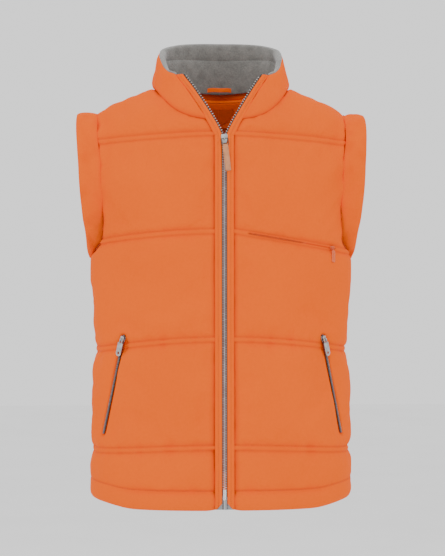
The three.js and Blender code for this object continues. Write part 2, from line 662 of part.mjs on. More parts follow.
// ---- Build: hems, folded round the panels' lower edges ----
const whole = [0, -PANEL_THICKNESS];
const hem = (face, columnX, columns) =>
  torsoLayer(face, columnX, 0, () => HEM_HEIGHT, whole, columns, HEM_ROWS);
part("back_hem", hem(BACK, backColumns, BACK_COLUMNS), ORANGE);
for (const [name, side] of SIDES) {
  part(`${name}_side_hem`, mirrored(hem(FRONT, sideColumns, SIDE_COLUMNS), side), ORANGE);
  part(`${name}_front_hem`, mirrored(hem(FRONT, doorColumns, DOOR_COLUMNS), side), ORANGE);
}

// ---- Build: the strips that bend when a front swings open ----
const foldColumns = (u) => lerp(DOOR_EDGE_X + SEAM_GAP, SIDE_EDGE_X - FOLD_CLEARANCE, u);
const foldTop = (x) => Math.min(doorTop(x), sideTop(Math.max(x, NECK_HALF_WIDTH))) - SEAM_GAP;
const fold = torsoLayer(FRONT, foldColumns, 0, foldTop, [LAYERS.shell[0], LAYERS.lining[1]], 2);
for (const [name, side] of SIDES)
  part(`${name}_front_fold`, mirrored(side === LEFT ? cut(fold, chestCutter) : fold, side), ORANGE);

// ---- Build: arm bands ----
for (const [name, side] of SIDES) {
  part(`${name}_arm_band`, mirrored(armBand(SEAM_GAP, SEAM_GAP + BAND_THICKNESS), side), ORANGE);
}

// ---- Build: collar ----
const fleeceFrom = -COLLAR_SHELL - LAYER_GAP;
const COLLAR_LAYERS = { shell: [0, -COLLAR_SHELL], fleece: [fleeceFrom, fleeceFrom - COLLAR_FLEECE] };
const collarColours = { shell: ORANGE, fleece: FLEECE_GREY };
for (const [layer, colour] of Object.entries(collarColours)) {
  const range = COLLAR_LAYERS[layer];
  const from = COLLAR_SPLIT + WING_GAP;
  part(`back_collar_${layer}`, collarLayer(from, 2 * COLLAR_STATIONS - from, range, 14), colour);
  const wing = collarLayer(0, COLLAR_SPLIT - WING_GAP, range, 4);
  for (const [name, side] of SIDES) part(`${name}_collar_${layer}`, mirrored(wing, side), colour);
}

// ---- Build: the main zip ----
const CHAIN_OUT = [CHAIN_MIDDLE - TEETH_THICKNESS / 2, CHAIN_MIDDLE + TEETH_THICKNESS / 2];
const TAPE_OUT = [CHAIN_MIDDLE - TAPE_THICKNESS / 2, CHAIN_MIDDLE + TAPE_THICKNESS / 2];
for (const [name, side] of SIDES) {
  const strip = (...sizes) => mirrored(zipStrip(...sizes), side);
  const toTop = OPEN_TOP_H;
  const chainFrom = ZIP_BOTTOM + ZIP_END_LENGTH + ZIP_CLEARANCE;
  const foldOut = [TAPE_OUT[1] + TAPE_CLEARANCE, 0];
  part(`${name}_placket`, strip(0, toTop, PLACKET_INNER, PLACKET_OUTER, ...foldOut), ORANGE);
  part(`${name}_zip_tape`, strip(0, toTop, CHAIN_HALF + ZIP_CLEARANCE, TAPE_EDGE, ...TAPE_OUT), CHAIN_GREY);
  const insideOut = [-PLACKET_THICKNESS, TAPE_OUT[0] - TAPE_CLEARANCE];
  part(`${name}_placket_facing`, strip(0, toTop, PLACKET_INNER, PLACKET_OUTER, ...insideOut), LINING_ORANGE);
  part(`${name}_zip_teeth`, strip(chainFrom, toTop, CHAIN_GAP, CHAIN_HALF, ...CHAIN_OUT), CHAIN_GREY);
}

// ---- Sliders and pulls ----
// A slider in its own frame: X across the chain, Y the way it opens from, Z out of the garment.
// Its plates lie over and under a chain of the given thickness whose middle plane is at z.
function sliderShape({ length, halfWidth, plate, chain, z, bailPin, alongBail = false }) {
  const low = z - chain / 2 - PLATE_CLEARANCE;
  const high = z + chain / 2 + PLATE_CLEARANCE;
  const outline = new THREE.Shape([
    [-0.62, -0.5], [0.62, -0.5], [0.85, -0.1], [1, 0.35], [0.8, 0.5], [-0.8, 0.5], [-1, 0.35], [-0.85, -0.1],
  ].map(([x, y]) => new THREE.Vector2(x * halfWidth, y * length)));
  const flat = new THREE.ExtrudeGeometry(outline, { depth: plate, bevelEnabled: false });
  const front = flat.clone().translate(0, 0, high);
  const back = flat.clone().translate(0, 0, low - plate);
  const web = boxAt(0, length * 0.28, z, 2 * WEB_HALF, length * 0.3, high - low + plate);
  const top = high + plate;
  const room = bailPin + 2 * ZIP_CLEARANCE;
  const wall = 0.8;
  const half = alongBail ? room / 2 + 1.6 : room / 2 + wall / 2;
  const post = (y) => boxAt(0, y, top + room / 2 - 0.2, 1.8, wall, room + 0.8);
  const roof = boxAt(0, 0, top + room + wall / 2, 1.8, 2 * half + wall, wall);
  const body = join(front, back, web, post(-half), post(half), roof);
  return { body, top, pinZ: top + room / 2, roofZ: top + room + wall / 2, roofHalf: wall / 2 };
}
const rounded = (half, length, radius) => {
  const shape = new THREE.Shape();
  shape.moveTo(half, 0);
  shape.lineTo(half, -length + radius);
  if (radius < half) {
    shape.absarc(half - radius, -length + radius, radius, 0, -Math.PI / 2, true);
    shape.absarc(-half + radius, -length + radius, radius, -Math.PI / 2, -Math.PI, true);
  } else shape.absarc(0, -length + radius, radius, 0, -Math.PI, true);
  shape.lineTo(-half, 0);
  return shape;
};
const extruded = (shape, depth, curveSegments = 3) =>
  new THREE.ExtrudeGeometry(shape, { depth, bevelEnabled: false, curveSegments });
const barX = (radius, half) => new THREE.CylinderGeometry(radius, radius, 2 * half, 8).rotateZ(Math.PI / 2);

// Main slider, link and leather tab.
const SLIDER_H = OPEN_H - 1 - SLIDER_LENGTH / 2;
const sliderFrame = zipFrame(SLIDER_H);
const sliderPlace = new THREE.Matrix4()
  .makeBasis(sliderFrame.aside, sliderFrame.along, sliderFrame.out)
  .setPosition(sliderFrame.point);
const mainSlider = sliderShape({
  length: SLIDER_LENGTH,
  halfWidth: SLIDER_HALF_WIDTH,
  plate: SLIDER_PLATE,
  chain: TEETH_THICKNESS,
  z: CHAIN_MIDDLE,
  bailPin: 2 * LINK_WIRE,
});
part("main_slider", mainSlider.body, SLIDER_STEEL, sliderPlace);
const pullPlace = sliderPlace.clone()
  .multiply(new THREE.Matrix4().makeTranslation(0, 0, mainSlider.pinZ))
  .multiply(new THREE.Matrix4().makeRotationZ(degrees(PULL_TILT)));
{
  const sideX = LINK_HALF_WIDTH - LINK_WIRE;
  const wire = 2 * LINK_WIRE;
  const side = (x) => boxAt(x, -LINK_LENGTH / 2, 0, wire, LINK_LENGTH + wire, wire);
  const bar = barX(LINK_WIRE, LINK_HALF_WIDTH - LINK_WIRE / 2);
  const link = join(bar, bar.clone().translate(0, -LINK_LENGTH, 0), side(sideX), side(-sideX));
  part("main_pull_link", link, LINK_STEEL, pullPlace);
  const eye = LINK_WIRE + ZIP_CLEARANCE;
  const loop = TAB_THICKNESS / 2 + 0.45;
  const strap = extruded(rounded(TAB_HALF_WIDTH, TAB_LENGTH, 1.2), TAB_THICKNESS)
    .translate(0, -LINK_LENGTH + loop, -TAB_THICKNESS / 2);
  const narrow = sideX - LINK_WIRE - ZIP_CLEARANCE;
  const fold = barX(loop, Math.min(narrow, TAB_HALF_WIDTH)).translate(0, -LINK_LENGTH, 0);
  const shoulders = boxAt(0, -LINK_LENGTH, 0, 4 * TAB_HALF_WIDTH, 2 * loop + 1, 2 * loop);
  const neck = boxAt(0, -LINK_LENGTH - loop, 0, 2 * narrow, 2, TAB_THICKNESS);
  const tab = join(cut(strap, shoulders), neck, fold);
  const bore = barX(eye, 3 * TAB_HALF_WIDTH).translate(0, -LINK_LENGTH, 0);
  part("main_pull_tab", cut(tab, bore), TAB_LEATHER, pullPlace);
}

// The zip's lower end: a box on the left side, the pin that goes into it on the right.
const zipEnd = (...section) => zipStrip(ZIP_BOTTOM, ZIP_BOTTOM + ZIP_END_LENGTH, ZIP_CLEARANCE, ...section);
part("zip_box", zipEnd(CHAIN_HALF, CHAIN_MIDDLE - 1.9, CHAIN_MIDDLE + 1.9), CHAIN_GREY);
part("zip_pin", mirrored(zipEnd(2.2, CHAIN_MIDDLE - 1.1, CHAIN_MIDDLE + 1.1), RIGHT), CHAIN_GREY);

// ---- Hand pockets ----
const POCKET_CHAIN_Z = POCKET_CHAIN_TOP - POCKET_CHAIN_THICKNESS / 2;
const ringPlate = (half, length, radius, eye, depth) => {
  const shape = rounded(half, length, Math.min(radius, half));
  const hole = new THREE.Path();
  hole.absarc(0, -length + radius, eye, 0, 2 * Math.PI, false);
  shape.holes.push(hole);
  return extruded(shape, depth, 4).translate(0, 0, -depth / 2);
};
for (const [name, side] of SIDES) {
  const length = pocketFrame.length;
  const chainSize = [length + 6, POCKET_CHAIN_WIDTH, POCKET_CHAIN_THICKNESS];
  const chainBlock = boxAt(length / 2, 0, POCKET_CHAIN_Z, ...chainSize);
  const split = boxAt(length / 2 - 4, 0, POCKET_CHAIN_Z, length + 6, POCKET_GAP, 4);
  part(`${name}_pocket_coil`, mirrored(placed(cut(chainBlock, split), pocketFrame.matrix), side), CHAIN_GREY);
  const slider = sliderShape({
    length: POCKET_SLIDER_LENGTH,
    halfWidth: POCKET_SLIDER_WIDTH / 2,
    plate: 0.8,
    chain: POCKET_CHAIN_THICKNESS,
    z: POCKET_CHAIN_Z,
    bailPin: 1.4,
  });
  const turned = pocketFrame.matrix.clone()
    .multiply(new THREE.Matrix4().makeTranslation(POCKET_SLIDER_LENGTH / 2 - 1, 0, 0))
    .multiply(new THREE.Matrix4().makeRotationZ(Math.PI / 2));
  part(`${name}_pocket_slider`, mirrored(placed(slider.body, turned), side), SLIDER_STEEL);
  const lift = new THREE.Matrix4().makeTranslation(0, 0, slider.pinZ);
  const neck = join(
    barX(0.7, 3.2),
    boxAt(2.6, -4, 0, 1.2, 8, 1.4),
    boxAt(-2.6, -4, 0, 1.2, 8, 1.4),
    ringPlate(POCKET_RING_RADIUS, POCKET_PULL_LENGTH, POCKET_RING_RADIUS, POCKET_EYE_RADIUS, 1.4)
      .translate(0, -6, 0),
  );
  part(`${name}_pocket_pull`, mirrored(placed(neck, turned.clone().multiply(lift)), side), SLIDER_STEEL);
  const bagRegion = region(SIDE_EDGE_X + 6, POCKET_BOTTOM_X + 8, HEM_HEIGHT + 15, POCKET_TOP_H + 25);
  const bag = kept(sideLayer("bag"), bagRegion);
  part(`${name}_pocket_bag`, mirrored(bag, side), LINING_ORANGE);
}

// ---- Chest pocket ----
const arcHalves = (from, to, joinedAtStart) => {
  const half = CHEST_CHAIN_THICKNESS / 2;
  const middle = chestArc.radius + CHEST_CHAIN_Z;
  const block = arcStrip(from, to, middle - half, middle + half, CHEST_CHAIN_WIDTH / 2);
  const join = degrees(CHEST_CHAIN_JOIN);
  const beyond = degrees(5);
  const [start, end] = joinedAtStart ? [from + join, to + beyond] : [from - beyond, to - join];
  return cut(block, arcStrip(start, end, middle - 2, middle + 2, POCKET_GAP / 2));
};
const chestDoorEdge = chestAngleAtX(DOOR_EDGE_X - 1);
const chestSideEdge = chestAngleAtX(SIDE_EDGE_X + 1);
part("chest_coil_inner", arcHalves(chestArc.from, chestDoorEdge, true), ORANGE);
part("chest_coil_outer", arcHalves(chestSideEdge, chestArc.to, false), ORANGE);
const chestSlider = sliderShape({
  length: 9,
  halfWidth: 3.6,
  plate: 0.8,
  chain: CHEST_CHAIN_THICKNESS,
  z: CHEST_CHAIN_Z,
  bailPin: 2,
  alongBail: true,
});
const chestSliderAngle = chestArc.to - degrees(CHEST_SLIDER_BACK_OFF);
const chestPlace = (() => {
  const angle = chestSliderAngle;
  const point = vec(chestArc.radius * Math.sin(angle), -chestArc.radius * Math.cos(angle), 0);
  const out = vec(Math.sin(angle), -Math.cos(angle), 0);
  const along = vec(Math.cos(angle), Math.sin(angle), 0);
  const aside = along.clone().cross(out);
  const seat = new THREE.Matrix4().makeBasis(aside, along, out).setPosition(point);
  return chestArc.matrix.clone().multiply(seat);
})();
part("chest_slider", chestSlider.body, ORANGE_ENAMEL, chestPlace);
{
  const eye = 0.4 * Math.SQRT2 + 0.75;
  const wall = 0.9;
  const long = CHEST_PULL_LENGTH;
  const loopAndStem = join(
    new THREE.CylinderGeometry(eye + wall, eye + wall, 2.2, 10),
    boxAt(eye + 1.6, 0, 0, 2.4, 2.2, 2.2),
    boxAt(eye + 2 + long / 2, 0, 0, long, CHEST_PULL_WIDTH, 2.2),
  );
  const hole = new THREE.CylinderGeometry(eye, eye, 6, 10);
  const drop = chestPlace.clone()
    .multiply(new THREE.Matrix4().makeTranslation(0, 0, chestSlider.roofZ))
    .multiply(new THREE.Matrix4().makeRotationY(-degrees(CHEST_PULL_LIFT)));
  part("chest_pull", placed(cut(loopAndStem, hole), drop), ORANGE_ENAMEL);
}
const chestBagTop = CHEST_INNER_H - (CHEST_OUTER_X - CHEST_INNER_X) * CHEST_SLOPE;
part("chest_pocket_bag", kept(sideLayer("bag"),
  region(SIDE_EDGE_X + 6, CHEST_OUTER_X, POCKET_TOP_H + 30, chestBagTop)), LINING_ORANGE);

// ---- Back neck: facing, label and hanger loop ----
const backLayer = (layer) => torsoLayer(BACK, backColumns, panelBottom, backTop, LAYERS[layer], BACK_COLUMNS);
const facing = kept(backLayer("facing"),
  region(-FACING_HALF_WIDTH, FACING_HALF_WIDTH, BODY_LENGTH - FACING_DEPTH, BODY_LENGTH));
part("back_neck_facing", facing, LINING_ORANGE);
{
  const labelTop = BODY_LENGTH - BACK_NECK_DROP - 12;
  const patch = region(-LABEL_HALF_WIDTH, LABEL_HALF_WIDTH, labelTop - LABEL_HEIGHT, labelTop);
  part("neck_label", kept(backLayer("label"), patch), LABEL_CLOTH);
  const rimY = collarPoint(COLLAR_STATIONS, 0.12).y - 19;
  const loopH = BODY_LENGTH - BACK_NECK_DROP + 12;
  const bow = (t) => Math.sin(t * Math.PI) * LOOP_BOW;
  const rings = Array.from({ length: 9 }, (_, i) => {
    const t = i / 8;
    const x = lerp(-LOOP_HALF_WIDTH, LOOP_HALF_WIDTH, t);
    const y = rimY - bow(t);
    const at = (dy, dz) => atHeight(x, y + dy, loopH + dz);
    const low = -LOOP_STRIP / 2;
    return [at(0, low), at(LOOP_THICKNESS, low), at(LOOP_THICKNESS, -low), at(0, -low)];
  });
  part("hanger_loop", closedRings(rings), ORANGE);
}

export default vest;
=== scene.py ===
"""A padded sleeveless vest: quilted shell, fleece collar, zips and pulls, dressed round the CAD frame."""
import logging
import math
from dataclasses import dataclass, field
from enum import Enum, IntEnum

import bmesh
import bpy
import numpy as np
from mathutils import Matrix, Vector, noise


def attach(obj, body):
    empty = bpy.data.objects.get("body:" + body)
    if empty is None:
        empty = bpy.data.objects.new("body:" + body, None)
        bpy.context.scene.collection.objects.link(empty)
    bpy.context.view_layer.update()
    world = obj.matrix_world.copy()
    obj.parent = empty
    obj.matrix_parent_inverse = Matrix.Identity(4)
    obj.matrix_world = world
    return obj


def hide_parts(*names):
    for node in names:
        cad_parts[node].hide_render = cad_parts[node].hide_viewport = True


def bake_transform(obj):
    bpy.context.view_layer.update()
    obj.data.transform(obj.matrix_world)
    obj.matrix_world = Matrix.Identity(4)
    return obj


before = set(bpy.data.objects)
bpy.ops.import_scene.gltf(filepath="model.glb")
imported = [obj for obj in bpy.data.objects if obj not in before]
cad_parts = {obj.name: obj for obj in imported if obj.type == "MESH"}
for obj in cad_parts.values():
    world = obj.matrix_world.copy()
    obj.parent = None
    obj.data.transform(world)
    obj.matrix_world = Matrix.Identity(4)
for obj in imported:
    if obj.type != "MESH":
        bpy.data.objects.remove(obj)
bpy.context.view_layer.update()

log = logging.getLogger("vest")
Array = np.ndarray


class Side(IntEnum):
    """The wearer's left (+X) or right (-X) half."""

    LEFT = 1
    RIGHT = -1

    @property
    def word(self) -> str:
        """The word that the CAD nodes' names start with."""
        return "left" if self is Side.LEFT else "right"


class Face(IntEnum):
    """The front or the back of the torso; the value is the sign of Y."""

    FRONT = -1
    BACK = 1


class Layer(Enum):
    """A layer of the quilted cloth, with its depth in metres under the outer form."""

    LINING = 0.0125
    FACING = 0.0137
    LABEL = 0.0148


# ---------------------------------------------------------------- small maths


def smooth(t: Array) -> Array:
    """Ease from 0 to 1 with flat ends."""
    t = np.clip(t, 0.0, 1.0)
    return t * t * (3 - 2 * t)


def lerp(a: Array, b: Array, t: Array) -> Array:
    """Go from a to b by the share t."""
    return a + (b - a) * t


def unit(v: Array) -> Array:
    """Scale vectors in the last axis to length one."""
    return v / np.maximum(np.linalg.norm(v, axis=-1, keepdims=True), 1e-12)


def signed_power(v: Array, p: float) -> Array:
    """Raise sizes to a power and keep their signs."""
    return np.sign(v) * np.abs(v) ** p


def stations(marks: list[tuple[float, float]], h: Array) -> Array:
    """Run smoothly through (height, value) marks.

    Args:
        marks: heights in rising order, each with its value.
        h: heights to read at.

    Returns:
        The value at each height.
    """
    out = np.full(np.shape(h), marks[0][1], float)
    for (h0, v0), (h1, v1) in zip(marks, marks[1:]):
        out = np.where(h > h0, lerp(v0, v1, smooth((h - h0) / (h1 - h0))), out)
    return out


def grid_normals(p: Array) -> Array:
    """Unit normals of a grid of points, from its own steps along rows and columns."""
    along = np.gradient(p, axis=1)
    up = np.gradient(p, axis=0)
    return unit(np.cross(along, up))


def ripples(p: Array, scale: float, seed: float, stretch: tuple[float, float, float] = (1, 1, 1)) -> Array:
    """Fractal noise at each point of a grid.

    Args:
        p: points, in metres.
        scale: how many waves to a metre.
        seed: a shift that makes one pattern differ from another.
        stretch: how much each axis is squeezed.

    Returns:
        Values of about -1 to 1, one for each point.
    """
    flat = p.reshape(-1, 3) * np.array(stretch) * scale + seed
    values = [noise.fractal(Vector(v), 0.9, 2.0, 3, noise_basis="PERLIN_NEW") for v in flat]
    return np.array(values).reshape(p.shape[:-1])


# ---------------------------------------------------------------- mesh helpers


def new_object(name: str, points: Array, faces: list[tuple[int, ...]]) -> bpy.types.Object:
    """Make a smooth-shaded mesh object from points and faces."""
    mesh = bpy.data.meshes.new(name)
    mesh.from_pydata([tuple(p) for p in np.asarray(points).reshape(-1, 3)], [], faces)
    mesh.validate()
    mesh.polygons.foreach_set("use_smooth", [True] * len(mesh.polygons))
    obj = bpy.data.objects.new(name, mesh)
    bpy.context.scene.collection.objects.link(obj)
    return obj


def grid_faces(rows: int, columns: int, start: int = 0, ring: bool = False) -> list[tuple[int, ...]]:
    """Quads of a grid whose points run row by row.

    Args:
        rows: number of rows of points.
        columns: number of columns of points.
        start: index of the first point.
        ring: whether the last column joins the first.

    Returns:
        The faces, as tuples of point indices.
    """
    faces = []
    for i in range(rows - 1):
        for j in range(columns if ring else columns - 1):
            k = (j + 1) % columns
            a, b = start + i * columns + j, start + i * columns + k
            faces.append((a, b, b + columns, a + columns))
    return faces


def sheet_object(name: str, p: Array, flip: bool = False) -> bpy.types.Object:
    """A mesh from a grid of points; flip turns its faces over."""
    faces = grid_faces(p.shape[0], p.shape[1])
    if flip:
        faces = [tuple(reversed(f)) for f in faces]
    return new_object(name, p, faces)


def ring_object(name: str, rings: Array, capped: bool = True, closed: bool = False) -> bpy.types.Object:
    """A tube through rings of points.

    Args:
        name: the object's name.
        rings: an array of shape (rings, points, 3).
        capped: whether both ends are filled.
        closed: whether the last ring joins the first.

    Returns:
        The object, with its faces pointing out.
    """
    count, sides = rings.shape[:2]
    if closed:
        rings = np.concatenate([rings, rings[:1]])
        count += 1
    faces = grid_faces(count, sides, ring=True)
    if capped and not closed:
        faces += [tuple(range(sides)), tuple(reversed(range((count - 1) * sides, count * sides)))]
    obj = new_object(name, rings, faces)
    tidy_mesh(obj, weld=1e-6)
    return obj


def tidy_mesh(obj: bpy.types.Object, weld: float = 0.0) -> None:
    """Weld doubled points and turn the faces to point out."""
    bm = bmesh.new()
    bm.from_mesh(obj.data)
    if weld:
        bmesh.ops.remove_doubles(bm, verts=bm.verts, dist=weld)
    bmesh.ops.recalc_face_normals(bm, faces=bm.faces)
    bm.to_mesh(obj.data)
    bm.free()


def settle_modifiers(obj: bpy.types.Object) -> bpy.types.Object:
    """Replace the object's mesh by what its modifiers make of it, and drop them."""
    graph = bpy.context.evaluated_depsgraph_get()
    mesh = bpy.data.meshes.new_from_object(obj.evaluated_get(graph))
    obj.modifiers.clear()
    obj.data = mesh
    return obj


def thicken(obj: bpy.types.Object, thickness: float, offset: float = -1.0, subdivide: int = 0) -> None:
    """Give a sheet its thickness, after a subdivision where asked."""
    if subdivide:
        sub = obj.modifiers.new("sub", "SUBSURF")
        sub.levels = sub.render_levels = subdivide
    solid = obj.modifiers.new("thick", "SOLIDIFY")
    solid.thickness = thickness
    solid.offset = offset
    settle_modifiers(obj)


def rounded(obj: bpy.types.Object, width: float, segments: int = 2) -> None:
    """Round an object's edges."""
    bevel = obj.modifiers.new("round", "BEVEL")
    bevel.width = width
    bevel.segments = segments
    bevel.limit_method = "ANGLE"
    bevel.harden_normals = False
    settle_modifiers(obj)


def joined(name: str, objects: list[bpy.types.Object]) -> bpy.types.Object:
    """Join objects' meshes into one new object."""
    bm = bmesh.new()
    for obj in objects:
        mesh = obj.data
        mesh.transform(obj.matrix_world)
        bm.from_mesh(mesh)
    mesh = bpy.data.meshes.new(name)
    bm.to_mesh(mesh)
    bm.free()
    for obj in objects:
        bpy.data.objects.remove(obj)
    mesh.polygons.foreach_set("use_smooth", [True] * len(mesh.polygons))
    obj = bpy.data.objects.new(name, mesh)
    bpy.context.scene.collection.objects.link(obj)
    return obj


def tube(name: str, path: Array, radius: float, sides: int = 8, closed: bool = False) -> bpy.types.Object:
    """A round tube along a path of points."""
    path = np.asarray(path, float)
    if closed:
        tangent = unit(np.roll(path, -1, 0) - np.roll(path, 1, 0))
    else:
        tangent = unit(np.gradient(path, axis=0))
    seed = np.array([0.0, 0.0, 1.0]) if abs(tangent[0][2]) < 0.9 else np.array([1.0, 0.0, 0.0])
    side = unit(np.cross(tangent[0], seed))
    rings = []
    for point, t in zip(path, tangent):
        side = unit(side - t * np.dot(side, t))
        other = np.cross(t, side)
        turn = 2 * math.pi * np.arange(sides) / sides
        rings.append(point + radius * (np.cos(turn)[:, None] * side + np.sin(turn)[:, None] * other))
    return ring_object(name, np.array(rings), closed=closed)


def plate(name: str, outline: Array, low: float, high: float, bevel: float = 0.0) -> bpy.types.Object:
    """A flat plate with an outline in X and Y, from low to high in Z, with rounded edges."""
    ring = np.asarray(outline, float)
    bottom = np.column_stack([ring, np.full(len(ring), low)])
    top = np.column_stack([ring, np.full(len(ring), high)])
    obj = ring_object(name, np.array([bottom, top]))
    if bevel:
        rounded(obj, bevel)
    return obj


# ---------------------------------------------------------------- finishes


class NodeBook:
    """A short way to write a material's nodes."""

    def __init__(self, name: str) -> None:
        """Start a material whose tree holds only the surface shader and the output."""
        self.material = bpy.data.materials.new(name)
        self.material.use_nodes = True
        self.tree = self.material.node_tree
        self.shader = self.tree.nodes["Principled BSDF"]
        self.place = self.add("ShaderNodeTexCoord").outputs["Object"]

    def add(self, kind: str, **values: object) -> bpy.types.Node:
        """Add a node and set its properties and the sockets that go by the given names."""
        node = self.tree.nodes.new(kind)
        for key, value in values.items():
            if hasattr(node, key):
                setattr(node, key, value)
            else:
                node.inputs[key.replace("_", " ")].default_value = value
        return node

    def link(self, source: bpy.types.NodeSocket, target: bpy.types.NodeSocket) -> None:
        """Join two sockets."""
        self.tree.links.new(source, target)

    def noise(self, scale: float, detail: float = 3.0, squeeze: tuple[float, float, float] = (1, 1, 1)):
        """A noise texture over the object's own space, squeezed along its axes."""
        mapping = self.add("ShaderNodeMapping")
        mapping.inputs["Scale"].default_value = squeeze
        self.link(self.place, mapping.inputs["Vector"])
        node = self.add("ShaderNodeTexNoise", Scale=scale, Detail=detail)
        self.link(mapping.outputs[0], node.inputs["Vector"])
        return node.outputs["Fac"]

    def wave(self, scale: float, direction: str, distortion: float = 0.4):
        """Fine ribs along one axis, for a weave."""
        node = self.add("ShaderNodeTexWave", bands_direction=direction, Scale=scale, Distortion=distortion)
        node.inputs["Detail Scale"].default_value = 2.0
        self.link(self.place, node.inputs["Vector"])
        return node.outputs["Fac"]

    def maths(self, operation: str, a: object, b: object) -> bpy.types.NodeSocket:
        """A maths node on two sockets or numbers."""
        node = self.add("ShaderNodeMath", operation=operation)
        for socket, value in zip(node.inputs, (a, b)):
            if isinstance(value, bpy.types.NodeSocket):
                self.link(value, socket)
            else:
                socket.default_value = value
        return node.outputs[0]

    def ramp(self, source: bpy.types.NodeSocket, stops: list[tuple[float, tuple[float, ...]]]):
        """A colour ramp with the given stops."""
        node = self.add("ShaderNodeValToRGB")
        while len(node.color_ramp.elements) < len(stops):
            node.color_ramp.elements.new(0.5)
        for element, (place, colour) in zip(node.color_ramp.elements, stops):
            element.position = place
            element.color = (*colour, 1.0)
        self.link(source, node.inputs["Fac"])
        return node.outputs["Color"]

    def mix(self, share: bpy.types.NodeSocket, a: object, b: object) -> bpy.types.NodeSocket:
        """Mix two colours by a share."""
        node = self.add("ShaderNodeMix", data_type="RGBA")
        self.link(share, node.inputs[0])
        for socket, value in zip((node.inputs[6], node.inputs[7]), (a, b)):
            if isinstance(value, bpy.types.NodeSocket):
                self.link(value, socket)
            else:
                socket.default_value = (*value, 1.0)
        return node.outputs[2]

    def bump(self, *layers: tuple[bpy.types.NodeSocket, float, float]) -> None:
        """Stack bumps, each a height socket, a strength and a distance, onto the shader."""
        last = None
        for height, strength, distance in layers:
            node = self.add("ShaderNodeBump", Strength=strength, Distance=distance)
            self.link(height, node.inputs["Height"])
            if last is not None:
                self.link(last, node.inputs["Normal"])
            last = node.outputs["Normal"]
        self.link(last, self.shader.inputs["Normal"])

    def set(self, **values: float) -> None:
        """Set the shader's own sockets."""
        for key, value in values.items():
            self.shader.inputs[key.replace("_", " ")].default_value = value

    def colour(self, source: bpy.types.NodeSocket) -> None:
        """Give the shader its base colour."""
        self.link(source, self.shader.inputs["Base Color"])


def shade(colour: tuple[float, float, float], factor: float) -> tuple[float, float, float]:
    """A darker or lighter tone of a colour."""
    return tuple(min(1.0, c * factor) for c in colour)


@dataclass(frozen=True)
class Cloth:
    """A brushed plain-woven cloth, mixed towards its darker second colour by a per-point attribute: painted
    shade along seams, grooves and edges, and random mottling on the arm bands.
    """

    name: str
    colour: tuple[float, float, float]
    shade_and_mottle_colour: tuple[float, float, float]
    rib: float = 1500.0
    roughness: float = 0.78
    sheen: float = 0.25
    crumple: float = 0.0
    shine: float = 0.05

    def material(self) -> bpy.types.Material:
        """Build the cloth's nodes."""
        book = NodeBook(self.name)
        broad = book.noise(9.0, 3.0)
        fine = book.noise(240.0, 4.0)
        fibre = book.noise(1400.0, 2.0)
        tone = book.maths("ADD", book.maths("MULTIPLY", broad, 0.6), book.maths("MULTIPLY", fine, 0.4))
        base = book.ramp(tone, [(0.3, shade(self.colour, 0.93)), (0.7, shade(self.colour, 1.05))])
        # Painted shade: the stored per-point amount mixes the colour towards the darker second colour, mostly
        # shade painted along seams, grooves and edges.
        shade_and_mottle = book.add("ShaderNodeAttribute", attribute_name="shade_and_mottle").outputs["Fac"]
        book.colour(book.mix(shade_and_mottle, base, self.shade_and_mottle_colour))
        rough = book.add("ShaderNodeMapRange")
        book.link(fine, rough.inputs["Value"])
        rough.inputs["To Min"].default_value = self.roughness - 0.07
        rough.inputs["To Max"].default_value = self.roughness + 0.07
        book.link(rough.outputs[0], book.shader.inputs["Roughness"])
        book.set(Sheen_Weight=self.sheen, Sheen_Roughness=0.45, Specular_IOR_Level=self.shine)
        weave = book.maths("ADD", book.wave(self.rib, "Z"), book.wave(self.rib, "X"))
        layers = [(weave, 0.12, 0.0002), (fibre, 0.15, 0.0003), (fine, 0.2, 0.0006)]
        if self.crumple:
            layers.append((book.noise(32.0, 3.0, (1.0, 1.0, 0.45)), self.crumple, 0.006))
        book.bump(*layers)
        return book.material


@dataclass(frozen=True)
class Fleece:
    """Short-napped fleece."""

    name: str
    colour: tuple[float, float, float]

    def material(self) -> bpy.types.Material:
        """Build the fleece's nodes."""
        book = NodeBook(self.name)
        nap = book.noise(420.0, 5.0)
        clump = book.noise(70.0, 4.0)
        tone = book.maths("ADD", book.maths("MULTIPLY", nap, 0.45), book.maths("MULTIPLY", clump, 0.55))
        book.colour(book.ramp(tone, [(0.3, shade(self.colour, 0.62)), (0.7, shade(self.colour, 1.35))]))
        book.set(Roughness=0.95, Sheen_Weight=0.6, Sheen_Roughness=0.6, Specular_IOR_Level=0.15)
        book.bump((clump, 0.5, 0.002), (nap, 0.8, 0.0012))
        return book.material


@dataclass(frozen=True)
class Metal:
    """Plated die-cast metal with mottled wear and small pits."""

    name: str
    colour: tuple[float, float, float]
    roughness: float = 0.3

    def material(self) -> bpy.types.Material:
        """Build the metal's nodes."""
        book = NodeBook(self.name)
        worn = book.noise(160.0, 6.0)
        pits = book.noise(900.0, 3.0)
        book.colour(book.ramp(worn, [(0.35, shade(self.colour, 0.7)), (0.6, self.colour),
                                     (0.8, shade(self.colour, 1.2))]))
        rough = book.add("ShaderNodeMapRange")
        book.link(worn, rough.inputs["Value"])
        rough.inputs["To Min"].default_value = self.roughness - 0.08
        rough.inputs["To Max"].default_value = self.roughness + 0.18
        book.link(rough.outputs[0], book.shader.inputs["Roughness"])
        book.set(Metallic=0.95)
        book.bump((pits, 0.25, 0.0001))
        return book.material


@dataclass(frozen=True)
class Moulded:
    """Moulded plastic or enamel: zip teeth, coils and orange pulls."""

    name: str
    colour: tuple[float, float, float]
    roughness: float = 0.42
    metallic: float = 0.0

    def material(self) -> bpy.types.Material:
        """Build the plastic's nodes."""
        book = NodeBook(self.name)
        grain = book.noise(700.0, 3.0)
        book.colour(book.ramp(grain, [(0.3, shade(self.colour, 0.82)), (0.7, shade(self.colour, 1.1))]))
        book.set(Roughness=self.roughness, Metallic=self.metallic, Coat_Weight=0.15)
        book.bump((grain, 0.2, 0.0001))
        return book.material


